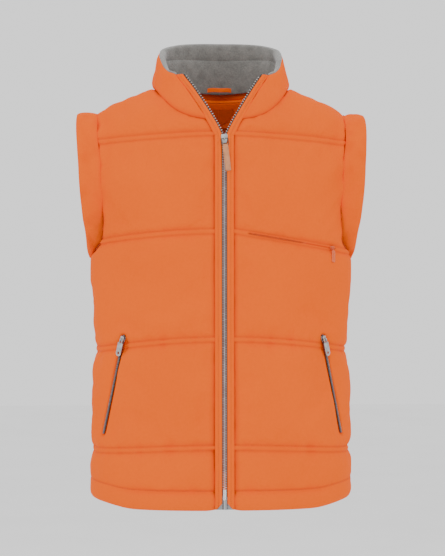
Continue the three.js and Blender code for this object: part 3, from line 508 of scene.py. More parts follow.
@dataclass(frozen=True)
class Leather:
    """Natural tan leather with pores and mottled tone."""

    name: str
    colour: tuple[float, float, float]

    def material(self) -> bpy.types.Material:
        """Build the leather's nodes."""
        book = NodeBook(self.name)
        pores = book.add("ShaderNodeTexVoronoi", Scale=1600.0)
        book.link(book.place, pores.inputs["Vector"])
        mottled = book.noise(150.0, 5.0)
        book.colour(book.ramp(mottled, [(0.3, shade(self.colour, 0.8)), (0.7, shade(self.colour, 1.12))]))
        book.set(Roughness=0.55, Specular_IOR_Level=0.4)
        book.bump((pores.outputs["Distance"], 0.3, 0.0002), (mottled, 0.3, 0.0004))
        return book.material


@dataclass(frozen=True)
class Finishes:
    """Every finish on the vest, made once."""

    # Each cloth's second colour is the darker tone that painted shade mixes in along seams, grooves and
    # edges.
    shell: Cloth = Cloth("shell_cloth", (1.0, 0.13, 0.0), (0.66, 0.035, 0.0), sheen=0.0)
    # Painted shade: the lining is orange cloth, given a dark brown-orange for the shadow inside the vest.
    lining: Cloth = Cloth("lining_cloth_painted_shade", (0.42, 0.05, 0.012), (0.3, 0.03, 0.01), rib=1800.0, roughness=0.6,
                          sheen=0.1, crumple=0.6)
    tape: Cloth = Cloth("zip_tape_cloth", (0.07, 0.067, 0.062), (0.05, 0.05, 0.05), rib=1300.0, sheen=0.1)
    thread: Cloth = Cloth("thread", (0.8, 0.13, 0.022), (0.5, 0.05, 0.01), rib=2600.0)
    label: Cloth = Cloth("label_cloth", (0.62, 0.075, 0.01), (0.2, 0.03, 0.01), rib=1100.0, sheen=0.1)
    fleece: Fleece = Fleece("grey_fleece", (0.17, 0.163, 0.148))
    wadding: Fleece = Fleece("fibre_wadding", (0.8, 0.78, 0.74))
    teeth: Metal = Metal("zip_teeth_metal", (0.74, 0.73, 0.71), 0.36)
    steel: Metal = Metal("slider_metal", (0.5, 0.5, 0.5), 0.3)
    dark_steel: Metal = Metal("link_metal", (0.13, 0.12, 0.11), 0.4)
    coil: Moulded = Moulded("pocket_coil", (0.3, 0.3, 0.31), 0.4)
    enamel: Moulded = Moulded("orange_enamel", (0.75, 0.11, 0.015), 0.4)
    leather: Leather = Leather("tan_leather", (0.62, 0.25, 0.11))


class Wardrobe:
    """Hands out each finish's material, building it the first time."""

    def __init__(self, finishes: Finishes) -> None:
        """Keep the finishes, with no material built yet."""
        self.finishes = finishes
        self.made: dict[str, bpy.types.Material] = {}

    def dress(self, obj: bpy.types.Object, finish: str, slot: str) -> bpy.types.Object:
        """Give an object a finish by name."""
        if finish not in self.made:
            self.made[finish] = getattr(self.finishes, finish).material()
        obj.data.materials.clear()
        obj.data.materials.append(self.made[finish])
        return obj


# ---------------------------------------------------------------- the form


@dataclass(frozen=True)
class VestForm:
    """The vest's outer form, in metres: h is a height above the hem, and z runs up from the neck base."""

    length: float = 0.680
    width_hem: float = 0.213
    width_waist: float = 0.206
    width_chest: float = 0.214
    power: float = 2.5
    front_hem: float = 0.142
    zip_lean: float = 0.027
    back_hem: float = 0.118
    back_waist: float = 0.106
    back_blades: float = 0.122
    neck_half: float = 0.112
    shoulder_fall: float = 0.408
    cap_drop: float = 0.005
    front_neck_drop: float = 0.062
    back_neck_drop: float = 0.012
    front_start: float = 0.430
    back_start: float = 0.480
    armhole_top: float = 0.636
    armhole_height: float = 0.238
    armhole_half_depth: float = 0.074
    open_h: float = 0.592
    open_top: float = 0.692
    open_half: float = 0.060
    open_lean: float = 0.050
    placket_outer: float = 0.015

    def half_width(self, h: Array) -> Array:
        """Half the torso's width."""
        marks = [(0.0, self.width_hem), (0.4 * self.length, self.width_waist),
                 (0.6 * self.length, self.width_chest)]
        return stations(marks, h)

    def shoulder_height(self, x: Array) -> Array:
        """Height of the shoulder ridge."""
        return self.length - (x - self.neck_half) * self.shoulder_fall - self.cap_drop * smooth((x - 0.176)
            / 0.03)

    def across(self, x: Array, h: Array) -> Array:
        """Share of the full depth that is left at x."""
        return (1 - np.minimum(1.0, x / self.half_width(h)) ** self.power) ** (1 / self.power)

    def fullness(self, face: Face, x: Array, h: Array) -> Array:
        """Share of the full depth that is left on the way up to the shoulder ridge."""
        start = self.front_start if face is Face.FRONT else self.back_start
        t = np.clip((h - start) / (self.shoulder_height(x) - start), 0, 1)
        if face is Face.BACK:
            return (1 - t**2.2) ** (1 / 1.5)
        aside = smooth(x / self.neck_half)
        return (1 - t ** lerp(4, 2.6, aside)) ** (1 / lerp(2.5, 1.8, aside))

    def zip_depth(self, h: Array) -> Array:
        """How far the zip line is in front of the middle plane."""
        straight = self.front_hem - self.zip_lean * np.minimum(h, self.open_h)
        bent = straight * self.fullness(Face.FRONT, 0 * h, h) / self.fullness(Face.FRONT, 0.0, self.open_h)
        return np.where(h <= self.open_h, straight, bent)

    def depth(self, face: Face, x: Array, h: Array) -> Array:
        """Y of a torso face at x and h."""
        if face is Face.FRONT:
            full = self.fullness(face, x, h) / self.fullness(face, 0 * h, h)
            return -self.zip_depth(h) * self.across(x, h) * full
        marks = [(0.0, self.back_hem), (0.42 * self.length, self.back_waist),
                 (0.76 * self.length, self.back_blades)]
        return stations(marks, h) * self.across(x, h) * self.fullness(face, x, h)

    def point(self, face: Face, x: Array, h: Array) -> Array:
        """Points of a torso face; x may be negative."""
        y = self.depth(face, np.abs(x), h)
        return np.stack([x, y, h - self.length], axis=-1)

    def neckline(self, face: Face, x: Array) -> Array:
        """Height of the neck seam."""
        share = np.clip(np.abs(x) / self.neck_half, 0, 1)
        if face is Face.FRONT:
            return self.length - self.front_neck_drop * (1 - share**3.2)
        return self.length - self.back_neck_drop * (1 - share**2)

    def top(self, face: Face, x: Array) -> Array:
        """Height of a panel's upper edge: the neck seam, then the shoulder ridge."""
        x = np.abs(x)
        return np.where(x < self.neck_half, self.neckline(face, x), self.shoulder_height(x) - 2e-5)

    def armhole_y(self, h: Array) -> Array:
        """Half-depth of the armhole's oval at a height, nought below it."""
        middle = self.armhole_top - self.armhole_height / 2
        t = (h - middle) / (self.armhole_height / 2)
        return self.armhole_half_depth * np.sqrt(np.clip(1 - t * t, 0, 1))

    def armhole_x(self, face: Face, h: Array) -> Array:
        """X at which a torso face meets the armhole, or the side seam below it."""
        near = np.full(np.shape(h), 0.12)
        far = self.half_width(h) - 1e-6
        target = self.armhole_y(h)
        for _ in range(26):
            middle = (near + far) / 2
            deeper = np.abs(self.depth(face, middle, h)) > target
            near = np.where(deeper, middle, near)
            far = np.where(deeper, far, middle)
        return near

    def sleeve_edge(self, h: Array, hole: Array) -> Array:
        """X at which the band is sewn on: the armhole's edge low down, the cap of the shoulder above."""
        cap = stations([(0.40, 0.1955), (0.47, 0.194), (0.545, 0.198), (0.60, 0.2045)], h)
        return lerp(np.minimum(hole, 0.2135), cap, smooth((h - 0.398) / 0.035))

    def sleeve_point(self, face: Face, x: Array, h: Array) -> Array:
        """Points of a torso face that run straight on sideways beyond the armhole's edge."""
        points = self.point(face, x, h)
        flat = np.abs(x)
        within = smooth((flat - 0.165) / 0.02) * (0.985 - 0.6 * smooth((flat - 0.196) / 0.03))
        reach = self.armhole_y(h) * within
        points[..., 1] = face * np.maximum(face * points[..., 1], reach)
        return points

    def zip_point(self, h: Array) -> Array:
        """Points of the zip line of the wearer's left side, opening out above open_h."""
        t = np.clip((h - self.open_h) / (self.open_top - self.open_h), 0, 1)
        x = self.open_half * t**1.15
        y = -self.zip_depth(np.minimum(h, self.open_h)) + self.open_lean * t**1.8
        return np.stack([x, y, h - self.length], axis=-1)

    def zip_frames(self, h: Array) -> tuple[Array, Array, Array, Array]:
        """The zip line's points, and the ways along it, aside and out of the garment."""
        step = 0.001
        top = np.minimum(h + step, self.open_top)
        along = unit(self.zip_point(top) - self.zip_point(top - 2 * step))
        turn = smooth((h - self.open_h) / (self.open_top - self.open_h))[:, None]
        aside = lerp(np.array([1.0, 0, 0]), np.array([0.72, 0.68, 0.1]), turn)
        aside = unit(aside - along * np.sum(aside * along, axis=-1, keepdims=True))
        return self.zip_point(h), along, aside, unit(np.cross(aside, along))

    def panel_inner(self, h: Array) -> Array:
        """X of a front panel's edge by the placket."""
        t = np.clip((h - self.open_h) / (self.open_top - self.open_h), 0, 1)
        return self.placket_outer - 0.0006 + self.open_half * t**1.15 + 0.003 * smooth(t * 3)


def mirror(p: Array, side: Side) -> Array:
    """Points of the left half, mirrored where the side is the right."""
    return p * np.array([float(side), 1.0, 1.0])


# ---------------------------------------------------------------- quilted panels


@dataclass(frozen=True)
class Quilting:
    """Where the rows of stitching run, and how the cloth stands between them. Metres."""

    rows: tuple[tuple[float, float], ...] = ((0.0997, 0.0117), (0.269, 0.020), (0.4386, 0.0176),
                                             (0.593, 0.009))
    reach: float = 0.21
    pair: float = 0.004
    hem: float = 0.032
    sink: float = 0.0036
    crest: float = 0.0014
    chest_row: int = 2
    chest_x: float = 0.038
    chest_h: float = 0.435
    chest_slope: float = 0.1625

    def height(self, row: int, x: Array, face: Face, chest: bool) -> Array:
        """Height of a row of stitching at x.

        Args:
            row: counted up from the hem.
            x: distance from the middle, never negative.
            face: front or back.
            chest: whether this panel has the chest pocket, whose zip takes the place of one row.

        Returns:
            The height of the middle of the pair of stitch lines.
        """
        middle, drop = self.rows[row]
        if chest and row == self.chest_row:
            return self.chest_h - self.chest_slope * (x - self.chest_x)
        share = (x / self.reach) ** 2
        if face is Face.FRONT:
            return middle - drop * share
        return middle - drop + 0.4 * drop * (1 - share)


@dataclass
class PanelGrid:
    """A quilted panel as a grid: rows follow the stitching, columns the edges.

    Args:
        form: the vest's outer form.
        quilting: the rows of stitching.
        face: front or back.
        chest: whether the chest pocket is on this panel.
        pocket: where the hand pocket's zip runs, as (x, h) at its top and foot, or None.
        seed: makes this panel's wrinkles its own.
    """

    form: VestForm
    quilting: Quilting
    face: Face
    chest: bool = False
    pocket: tuple[tuple[float, float], tuple[float, float]] | None = None
    seed: float = 0.0
    base: Array = field(init=False)
    normals: Array = field(init=False)
    puffed: Array = field(init=False)
    pinned: Array = field(init=False)
    shade_and_mottle: Array = field(init=False)
    main_row: int = field(init=False)

    HEM_WRAP = (
        (0.033, -0.0132), (0.022, -0.014), (0.012, -0.0138), (0.004, -0.0122), (0.0006, -0.009),
        (0.0006, -0.0052),
        (0.0035, -0.0018), (0.009, 0.0006), (0.016, 0.0014), (0.023, 0.0004), (0.028, -0.0022),
        (0.0305, -0.0045),
    )

    def __post_init__(self) -> None:
        """Lay the grid out and puff it."""
        self._outer_table = self._read_outer()
        levels = self._levels()
        columns = self._columns()
        x, h = self._places(levels, columns)
        offset, pin, shade_and_mottle = self._profile(x, h, levels)
        wrap = len(self.HEM_WRAP)
        self.main_row = wrap
        self.base = self.form.sleeve_point(self.face, x, h)
        self.base[..., 1] = self.face * np.maximum(self.face * self.base[..., 1], 0.0002)
        facing = grid_normals(self.base)
        facing[:wrap] = facing[wrap]
        facing[:wrap, :, 2] = 0
        facing = unit(facing)
        outwards = np.sign(np.sum(facing * np.stack([0 * x, self.face + 0 * x, 0 * x], -1), axis=-1,
                                  keepdims=True))
        outwards[outwards == 0] = 1
        middle = facing.shape[1] // 2
        self.normals = facing * outwards[:, middle:middle + 1]
        self.puffed = self.base + self.normals * offset[..., None]
        self._meet(self.base, x, h)
        self._meet(self.puffed, x, h)
        self.pinned = pin
        self.shade_and_mottle = shade_and_mottle

    def _read_outer(self) -> tuple[Array, Array]:
        """Read off where the panel ends, at heights close together."""
        h = np.linspace(0, self.form.length, 500)
        side = self.form.half_width(h) - 2e-7
        hole = self.form.armhole_x(self.face, h)
        return h, np.where(h > self.form.armhole_top - self.form.armhole_height,
                           self.form.sleeve_edge(h, hole), side)

    def outer(self, h: Array) -> Array:
        """X of the panel's outer edge at a height."""
        return np.interp(h, *self._outer_table)

    def inner(self, h: Array) -> Array:
        """X of the panel's inner edge."""
        return self.form.panel_inner(h) if self.face is Face.FRONT else 0 * h

    def curve(self, index: int, x: Array) -> Array:
        """A border between bands: the hem's stitching, each row, then the upper edge."""
        if index == 0:
            return self.quilting.hem + self.side_lift(x)
        if index > len(self.quilting.rows):
            return self.form.top(self.face, x) - 0.0006 * (1 - smooth((x - self.form.neck_half) / 0.01))
        return self.quilting.height(index - 1, x, self.face, self.chest)

    def side_lift(self, x: Array) -> Array:
        """How far the hem rises where it turns round the side."""
        return 0.008 * smooth((np.abs(x) - 0.14) / 0.072)

    def _levels(self) -> list[tuple[int, float, float, float]]:
        """The grid's rows above the hem: lower curve, share of the way to the next, shifts at both curves."""
        pair = self.quilting.pair
        levels = [(0, 0.0, 0.0, 0.0)]
        last = len(self.quilting.rows)
        for band in range(last + 1):
            low = pair if band else 0.0
            high = -pair if band < last else 0.0
            span = float(self.curve(band + 1, np.array(0.1)) - self.curve(band, np.array(0.1)))
            steps = max(7, round(span / 0.0062))
            for i in range(1, steps + 1):
                even = i / steps
                share = lerp(even, 0.5 - 0.5 * math.cos(math.pi * even), 0.45)
                levels.append((band, share, low, high))
            if band < last:
                levels += [(band + 1, 0.0, shift, 0.0) for shift in (-pair / 2, 0.0, pair / 2, pair)]
        return levels

    def _columns(self) -> Array:
        """Shares across the panel, closer together at both edges."""
        count = 46 if self.face is Face.FRONT else 44
        even = np.linspace(0, 1, count)
        share = lerp(even, 0.5 - 0.5 * np.cos(math.pi * even), 0.4)
        return share if self.face is Face.FRONT else np.concatenate([-share[:0:-1], share])

    def pocket_x(self, h: Array) -> Array:
        """X of the hand pocket's line at a height, level with its ends beyond them."""
        (top_x, top_h), (foot_x, foot_h) = self.pocket
        return lerp(foot_x, top_x, np.clip((h - foot_h) / (top_h - foot_h), 0, 1))

    TURNED_DEPTH = 0.0030
    GROOVE = (-0.0046, -0.0030, -0.0018, 0.0, 0.0018, 0.0030, 0.0046)

    def _across(self, share: Array, h: Array) -> Array:
        """X at a share across, even along the torso's curve, with a bundle of columns along the pocket."""
        width = self.form.half_width(h)

        def between(low: Array, high: Array, part: Array) -> Array:
            a = np.arcsin(np.clip(low / width, 0, 1) ** (self.form.power / 2))
            b = np.arcsin(np.clip(high / width, 0, 1) ** (self.form.power / 2))
            return width * np.abs(np.sin(lerp(a, b, part))) ** (2 / self.form.power)

        part = np.abs(share)
        if self.pocket is None:
            return np.sign(share) * between(self.inner(h), self.outer(h), part)
        middle = self.pocket_x(h)
        count, tail, bundle = part.shape[-1], 9, len(self.GROOVE)
        head = count - tail - bundle
        step = np.tile(np.arange(count), (part.shape[0], 1))
        before = between(self.inner(h), middle + self.GROOVE[0], step / head)
        after = between(middle + self.GROOVE[-1], self.outer(h), (step - head - bundle + 1) / tail)
        inside = middle + np.array(self.GROOVE)[np.clip(step - head, 0, bundle - 1)]
        return np.where(step < head, before, np.where(step < head + bundle, inside, after))

    def _places(self, levels: list[tuple[int, float, float, float]], columns: Array) -> tuple[Array, Array]:
        """Find each point's x and height, which depend on each other."""
        share = np.tile(columns, (len(levels), 1))
        h = np.full(share.shape, 0.3)
        for _ in range(24):
            x = self._across(share, h)
            flat = np.abs(x)
            fresh = np.stack([
                lerp(self.curve(band, flat[i]) + low, self.curve(band + 1, flat[i]) + high, part)
                if part else self.curve(band, flat[i]) + low
                for i, (band, part, low, high) in enumerate(levels)
            ])
            h = lerp(h, fresh, 0.6)
        wrap_x = np.tile(x[0], (len(self.HEM_WRAP), 1))
        wrap_h = np.tile(np.array([a for a, _ in self.HEM_WRAP])[:, None], (1, share.shape[1]))
        wrap_h = wrap_h * (1 + 0 * wrap_x) + self.side_lift(wrap_x)
        if self.face is Face.FRONT:
            lift = 0.002 * (1 - smooth((wrap_x - 0.012) / 0.012))
            wrap_h = wrap_h + lift * (1 - np.minimum(wrap_h, 0.033) / 0.033)
        wrap_x = wrap_x * self.form.half_width(wrap_h) / self.form.half_width(h[0])[None, :]
        return np.concatenate([wrap_x, x]), np.concatenate([wrap_h, h])

    def _meet(self, points: Array, x: Array, h: Array) -> None:
        """Bring the side seam's edge and the shoulder's ridge to where the other face meets them."""
        overlap = -self.face * 0.0005
        seam = 1 - smooth((h - 0.392) / 0.006)
        for column in (0, -1) if self.face is Face.BACK else (-1,):
            points[:, column, 1] = lerp(points[:, column, 1], overlap, seam[:, column])
        ridge = smooth((np.abs(x[-1]) - self.form.neck_half) / 0.006 + 1)
        points[-1, :, 1] = lerp(points[-1, :, 1], overlap, ridge)

    def _profile(self, x: Array, h: Array, levels: list) -> tuple[Array, Array, Array]:
        """How far each point stands out, which points the stitching holds, and how much painted shade each
        gets.
        """
        q = self.quilting
        flat = np.abs(x)
        wrap = len(self.HEM_WRAP)
        rise = np.full(x.shape, np.inf)
        seam = np.zeros(x.shape, bool)
        for i, (band, part, _, _) in enumerate(levels):
            row = wrap + i
            under = h[row] - self.curve(band, flat[row]) - (q.pair if band else 0)
            over = self.curve(band + 1, flat[row]) - (q.pair if band < len(q.rows) else 0) - h[row]
            if part == 0.0 or part == 1.0:
                rise[row] = 0.0
                seam[row] = True
            else:
                rise[row] = np.minimum(under, over)
        rise[:wrap] = 0.03
        edge_in = flat - self.inner(h) if self.face is Face.FRONT else np.full(x.shape, 1.0)
        edge_out = self.outer(h) - flat
        depth_out = np.hypot(edge_out, self.form.depth(self.face, flat, h) - self.form.depth(
            self.face, np.minimum(self.outer(h), flat + 10), h))

        def bulge(distance: Array, reach: float) -> Array:
            return 1 - (1 - np.clip(distance / reach, 0, 1)) ** 2.4

        swell = (0.72 * bulge(rise, 0.012) + 0.28 * bulge(rise, 0.05)) * bulge(edge_in,
            0.012) * bulge(depth_out, 0.024)
        place = self.form.point(self.face, x, h)
        near = np.exp(-rise / 0.016)
        beside = np.exp(-np.minimum(edge_in, depth_out) / 0.014)
        pucker = 0.0010 * near * ripples(place, 1.0, self.seed, (78, 60, 16))
        spots = ripples(place, 1.0, self.seed + 7, (52, 40, 6))
        pucker -= 0.0044 * np.exp(-rise / 0.012) * smooth((np.abs(spots) - 0.32) / 0.26) * (h < 0.33)
        scallop = np.exp(-depth_out / 0.03)
        pucker += 0.0032 * scallop * ripples(place, 1.0, self.seed + 5, (9, 9, 34))
        pucker += 0.0008 * beside * ripples(place, 1.0, self.seed + 5, (16, 16, 70))
        broad = 0.0022 * swell * ripples(place, 9.0, self.seed + 9, (1, 1, 1.3))
        folds = 0.0024 * swell * (0.45 - np.abs(ripples(place, 1.0, self.seed + 3, (17, 14, 7))))
        offset = -q.sink + (q.sink + q.crest) * swell + pucker + broad + folds
        hem_turn = smooth((flat - 0.14) / 0.05) * np.exp(-np.abs(h - self.curve(0, flat)) / 0.012)
        offset = lerp(offset, 0.0004, 0.85 * hem_turn)
        for i, (band, part, low, _) in enumerate(levels):
            if part == 0.0 and band and abs(low) < q.pair - 1e-6:
                offset[wrap + i] = -q.sink + 0.0018 + 0.3 * pucker[wrap + i]
        for i, (_, out) in enumerate(self.HEM_WRAP):
            full = 1.0 if 5 < i < 11 else 0.0
            side = smooth((flat[i] - 0.14) / 0.05)
            rounder = np.array(max(out, 0.0008 - 0.0016 * (11 - i) / 4) if i > 6 else out)
            offset[i] = lerp(out, rounder, side) + full * (0.0006 + 0.8 * pucker[i])
            if self.face is Face.FRONT:
                offset[i] -= 0.004 * (1 - bulge(edge_in[i], 0.012)) * (1 if 4 < i else 0)
        pin = seam.copy()
        pin[:wrap] = True
        pin[:, -1] = True
        pin[:, 0] = True
        pin[-1] = True
        # Painted shade: darker along the stitch lines and the panel's edges, where shade falls; weaker on the
        # hem's wrap and on each pair's middle row.
        shade_and_mottle = np.clip(np.exp(-rise / 0.0012) * 0.40
                         + 0.55 * np.exp(-np.minimum(edge_in, depth_out) / 0.0022), 0, 1)
        shade_and_mottle[:wrap] *= 0.2
        for i, (band, part, low, _) in enumerate(levels):
            if part == 0.0 and band and abs(low) < q.pair - 1e-6:
                shade_and_mottle[wrap + i] *= 0.15
        if self.pocket is not None:
            away = np.abs(flat - self.pocket_x(h))
            (_, top_h), (_, foot_h) = self.pocket
            along = smooth((h - foot_h + 0.006) / 0.004) * (1 - smooth((h - top_h - 0.002) / 0.004))
            groove = 1 - smooth((away - 0.0016) / 0.0024)
            welt = 1 - bulge(np.maximum(away - 0.0044, 0), 0.02)
            offset = offset * (1 - along * groove) + along * groove * -0.0058
            offset -= along * (1 - groove) * welt * 0.0024
            pin |= (along > 0.3) & (away < 0.0050)
            # Painted shade in the hand pocket's groove.
            shade_and_mottle = np.clip(shade_and_mottle + 0.8 * along * groove, 0, 1)
        if self.chest:
            slit = (np.abs(h - self.curve(q.chest_row + 1, flat)) < q.pair
                    * 0.3) & (flat > q.chest_x) & (flat < 0.182)
            offset = np.where(slit, -0.0022, offset)
            # Painted shade in the chest pocket's slit.
            shade_and_mottle = np.where(slit, 0.9, shade_and_mottle)
        return offset, pin, shade_and_mottle

    def closed_over(self, face: Array, side: Side = Side.LEFT) -> Array:
        """The face with rows added that turn its upper edge over to the inside."""
        top, normal = mirror(self.base[-1], side), mirror(self.normals[-1], side)
        return np.concatenate([face, *[(top - normal * d)[None] for d in (0.0045, 0.0085, 0.0118)]])

    def closed_shade(self) -> Array:
        """The painted shade of the face, and none on the rows that close it over."""
        return np.concatenate([self.shade_and_mottle, np.zeros((3, self.shade_and_mottle.shape[1]))])

    def inner_surface(self, depth: float) -> Array:
        """The grid above the hem, at a depth under the outer form."""
        return (self.base - self.normals * depth)[self.main_row - 1:]

    def lining_surface(self, depth: float) -> Array:
        """The inner surface at a depth, turned out to the shell along the armholes."""
        depths = np.full(self.base.shape[:2], depth)
        by_hole = smooth((self.base[..., 2] + self.form.length - 0.402) / 0.006)
        for column in (0, -1) if self.face is Face.BACK else (-1,):
            depths[:, column] = lerp(depth, self.TURNED_DEPTH, by_hole[:, column])
        return (self.base - self.normals * depths[..., None])[self.main_row - 1:]


@dataclass(frozen=True)
class ClothRelaxer:
    """Lets a stitched panel settle like slack cloth over its filling, held along its seams."""

    frames: int = 22
    slack: float = -0.022
    pressure: float = 1.6
    cap: float = 0.005

    def relax(self, points: Array, pinned: Array, flip: bool) -> Array:
        """Simulate the cloth.

        Args:
            points: the grid of points.
            pinned: which of them the stitching holds.
            flip: whether the faces have to be turned over for the pressure to push outwards.

        Returns:
            The points, each moved by at most the cap.
        """
        obj = sheet_object("settling_cloth", points, flip)
        group = obj.vertex_groups.new(name="held")
        group.add([int(i) for i in np.flatnonzero(pinned.reshape(-1))], 1.0, "REPLACE")
        cloth = obj.modifiers.new("cloth", "CLOTH")
        settings = cloth.settings
        settings.quality = 6
        settings.mass = 0.12
        settings.tension_stiffness = settings.compression_stiffness = 18
        settings.shear_stiffness = 6
        settings.bending_stiffness = 0.35
        settings.vertex_group_mass = "held"
        settings.shrink_min = self.slack
        settings.use_pressure = True
        settings.uniform_pressure_force = self.pressure
        settings.effector_weights.gravity = 0.15
        cloth.collision_settings.use_collision = False
        cloth.collision_settings.use_self_collision = False
        cloth.point_cache.frame_start = 1
        cloth.point_cache.frame_end = self.frames
        scene = bpy.context.scene
        for frame_number in range(1, self.frames + 1):
            scene.frame_set(frame_number)
        evaluated = obj.evaluated_get(bpy.context.evaluated_depsgraph_get())
        moved = np.empty(len(obj.data.vertices) * 3)
        evaluated.data.vertices.foreach_get("co", moved)
        scene.frame_set(1)
        bpy.data.objects.remove(obj)
        step = np.nan_to_num(moved.reshape(points.shape) - points)
        reach = np.linalg.norm(step, axis=-1, keepdims=True)
        return points + step * np.minimum(1, self.cap / np.maximum(reach, 1e-9))


def shade_and_mottle_attribute(obj: bpy.types.Object, values: Array) -> None:
    """Store how far each point's colour is darkened, for the cloth's finish: painted shade on most pieces,
    random mottling on the arm bands.
    """
    attribute = obj.data.attributes.new("shade_and_mottle", "FLOAT", "POINT")
    attribute.data.foreach_set("value", np.asarray(values, np.float32).reshape(-1))


def slab_object(name: str, top: Array, bottom: Array) -> bpy.types.Object:
    """A closed slab between two grids of the same shape."""
    rows, columns = top.shape[:2]
    count = rows * columns
    faces = grid_faces(rows, columns)
    faces += [tuple(reversed(f)) for f in grid_faces(rows, columns, start=count)]
    border = [*range(columns), *[i * columns + columns - 1 for i in range(1, rows)],
              *[(rows - 1) * columns + j for j in range(columns - 2, -1, -1)],
              *[i * columns for i in range(rows - 2, 0, -1)]]
    for a, b in zip(border, border[1:] + border[:1]):
        faces.append((a, a + count, b + count, b))
    obj = new_object(name, np.concatenate([top.reshape(-1, 3), bottom.reshape(-1, 3)]), faces)
    tidy_mesh(obj)
    return obj


def stitch_row(path: Array, out: Array, pitch: float = 0.0031, length: float = 0.0022,
               radius: float = 0.0003):
    """Thread stitches along a path, each a short bar bowed over the cloth.

    Args:
        path: points of the line of stitching.
        out: the cloth's normal at each point.
        pitch: from one stitch to the next.
        length: of a stitch.
        radius: of the thread.

    Returns:
        The stitches' points and faces.
    """
    lengths = np.concatenate([[0], np.cumsum(np.linalg.norm(np.diff(path, axis=0), axis=1))])
    starts = np.arange(pitch, lengths[-1] - pitch, pitch)

    def at(values: Array, where: Array) -> Array:
        return np.stack([np.interp(where, lengths, values[:, k]) for k in range(3)], axis=-1)

    points, faces = [], []
    for start in starts:
        marks = start + length * np.array([0.0, 0.5, 1.0])
        middle, normal = at(path, marks), unit(at(out, marks))
        along = unit(middle[2] - middle[0])
        side = unit(np.cross(along, normal[1]))
        first = len(points)
        for centre, lift, size in zip(middle, (-0.0001, 0.00025, -0.0001), (0.5, 1.0, 0.5)):
            centre = centre + normal[1] * lift
            for c, s in ((1, 0), (0, 1), (-1, 0), (0, -1)):
                points.append(centre + radius * size * (c * side + s * normal[1]))
        for ring in (0, 4):
            for k in range(4):
                m = (k + 1) % 4
                faces.append((first + ring + k, first + ring + m, first + ring + 4 + m, first + ring + 4 + k))
    return points, faces


def stitches_object(name: str, rows: list[tuple[Array, Array]], **sizes: float) -> bpy.types.Object:
    """One object holding several rows of stitches."""
    points, faces = [], []
    for path, out in rows:
        more, quads = stitch_row(path, out, **sizes)
        faces += [tuple(i + len(points) for i in quad) for quad in quads]
        points += more
    return new_object(name, np.array(points), faces)


def bend_with_front(obj: bpy.types.Object) -> None:
    """Bake a front piece's transform into its mesh."""
    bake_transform(obj)


@dataclass(frozen=True)
class Layup:
    """How a panel's layers lie on each other, and the grid rows and columns left off the filling's edges."""

    shell_cloth: float = 0.0009
    lining_cloth_painted_shade: float = 0.0006
    lining_waves: float = 0.0006
    thread_lift: float = 0.0004
    filling_top: float = 0.0032
    filling_under: float = 0.0110
    short_rows: int = 5
    short_columns: int = 2
    held_within: int = 5
    shell_fill: float = 0.55
    filling_fill: float = 0.5


class QuiltedPanel:
    """One panel of shell, stitches, filling and lining."""

    lay = Layup()

    def __init__(self, name: str, grid: PanelGrid, side: Side, wardrobe: Wardrobe) -> None:
        """Let the grid's cloth settle.

        Args:
            name: the word that the panel's pieces start with.
            grid: the panel's grid, of the wearer's left half or of the whole back.
            side: the half that it is for; the back counts as left, which mirrors nothing.
            wardrobe: the finishes.
        """
        self.name, self.grid, self.side, self.wardrobe = name, grid, side, wardrobe
        self.outwards = grid.face is Face.BACK or side is Side.RIGHT
        self.normals = mirror(grid.normals, side)
        self.face = ClothRelaxer().relax(mirror(grid.puffed, side), grid.pinned, self.outwards)

    def shell(self) -> bpy.types.Object:
        """The puffed outside."""
        shell = sheet_object(f"{self.name}_quilt", self.grid.closed_over(self.face, self.side), self.outwards)
        shade_and_mottle_attribute(shell, self.grid.closed_shade())
        thicken(shell, self.lay.shell_cloth, subdivide=1)
        return self.wardrobe.dress(shell, "shell", "shell_fabric")

    def stitches(self) -> bpy.types.Object:
        """The thread along the rows that the stitching holds."""
        rows = [(self.face[i, 1:-1] + self.normals[i, 1:-1] * self.lay.thread_lift, self.normals[i, 1:-1])
                for i in self._thread_rows()]
        return self.wardrobe.dress(stitches_object(f"{self.name}_stitches", rows), "thread", "shell_fabric")

    def _thread_rows(self) -> list[int]:
        """The held rows; of each run of them on a front, only the first and the last."""
        count, inset = self.face.shape[0], self.lay.held_within
        held = [i for i in range(self.grid.main_row, count) if self.grid.pinned[i, inset:-inset].all()]
        if self.grid.face is Face.FRONT:
            held = [i for i in held if i - 1 not in held or i + 1 not in held]
        return [i for i in held if i < count - 2]

    def filling(self) -> bpy.types.Object:
        """The loose wadding."""
        lay, first = self.lay, self.grid.main_row - 1
        last = -lay.short_columns
        columns = slice(-last if self.grid.face is Face.BACK else 0, last)
        top = (self.face[first:] - self.normals[first:] * lay.filling_top)[:-lay.short_rows, columns]
        under = mirror(self.grid.inner_surface(lay.filling_under), self.side)[:-lay.short_rows, columns]
        return self.wardrobe.dress(slab_object(f"{self.name}_filling", top, under), "wadding", "wadding")

    def lining(self, seed: float) -> tuple[bpy.types.Object, Array]:
        """The inside and its grid of points; the seed makes its waves its own."""
        inside = mirror(self.grid.lining_surface(Layer.LINING.value), self.side)
        waves = self.lay.lining_waves * ripples(inside, 22.0, seed)
        inside = inside + self.normals[self.grid.main_row - 1:] * waves[..., None]
        lining = sheet_object(f"{self.name}_inside", inside, self.outwards)
        thicken(lining, self.lay.lining_cloth_painted_shade)
        # The lining's dark colour is painted shade for the inside of the vest.
        return self.wardrobe.dress(lining, "lining", "lining_fabric"), inside


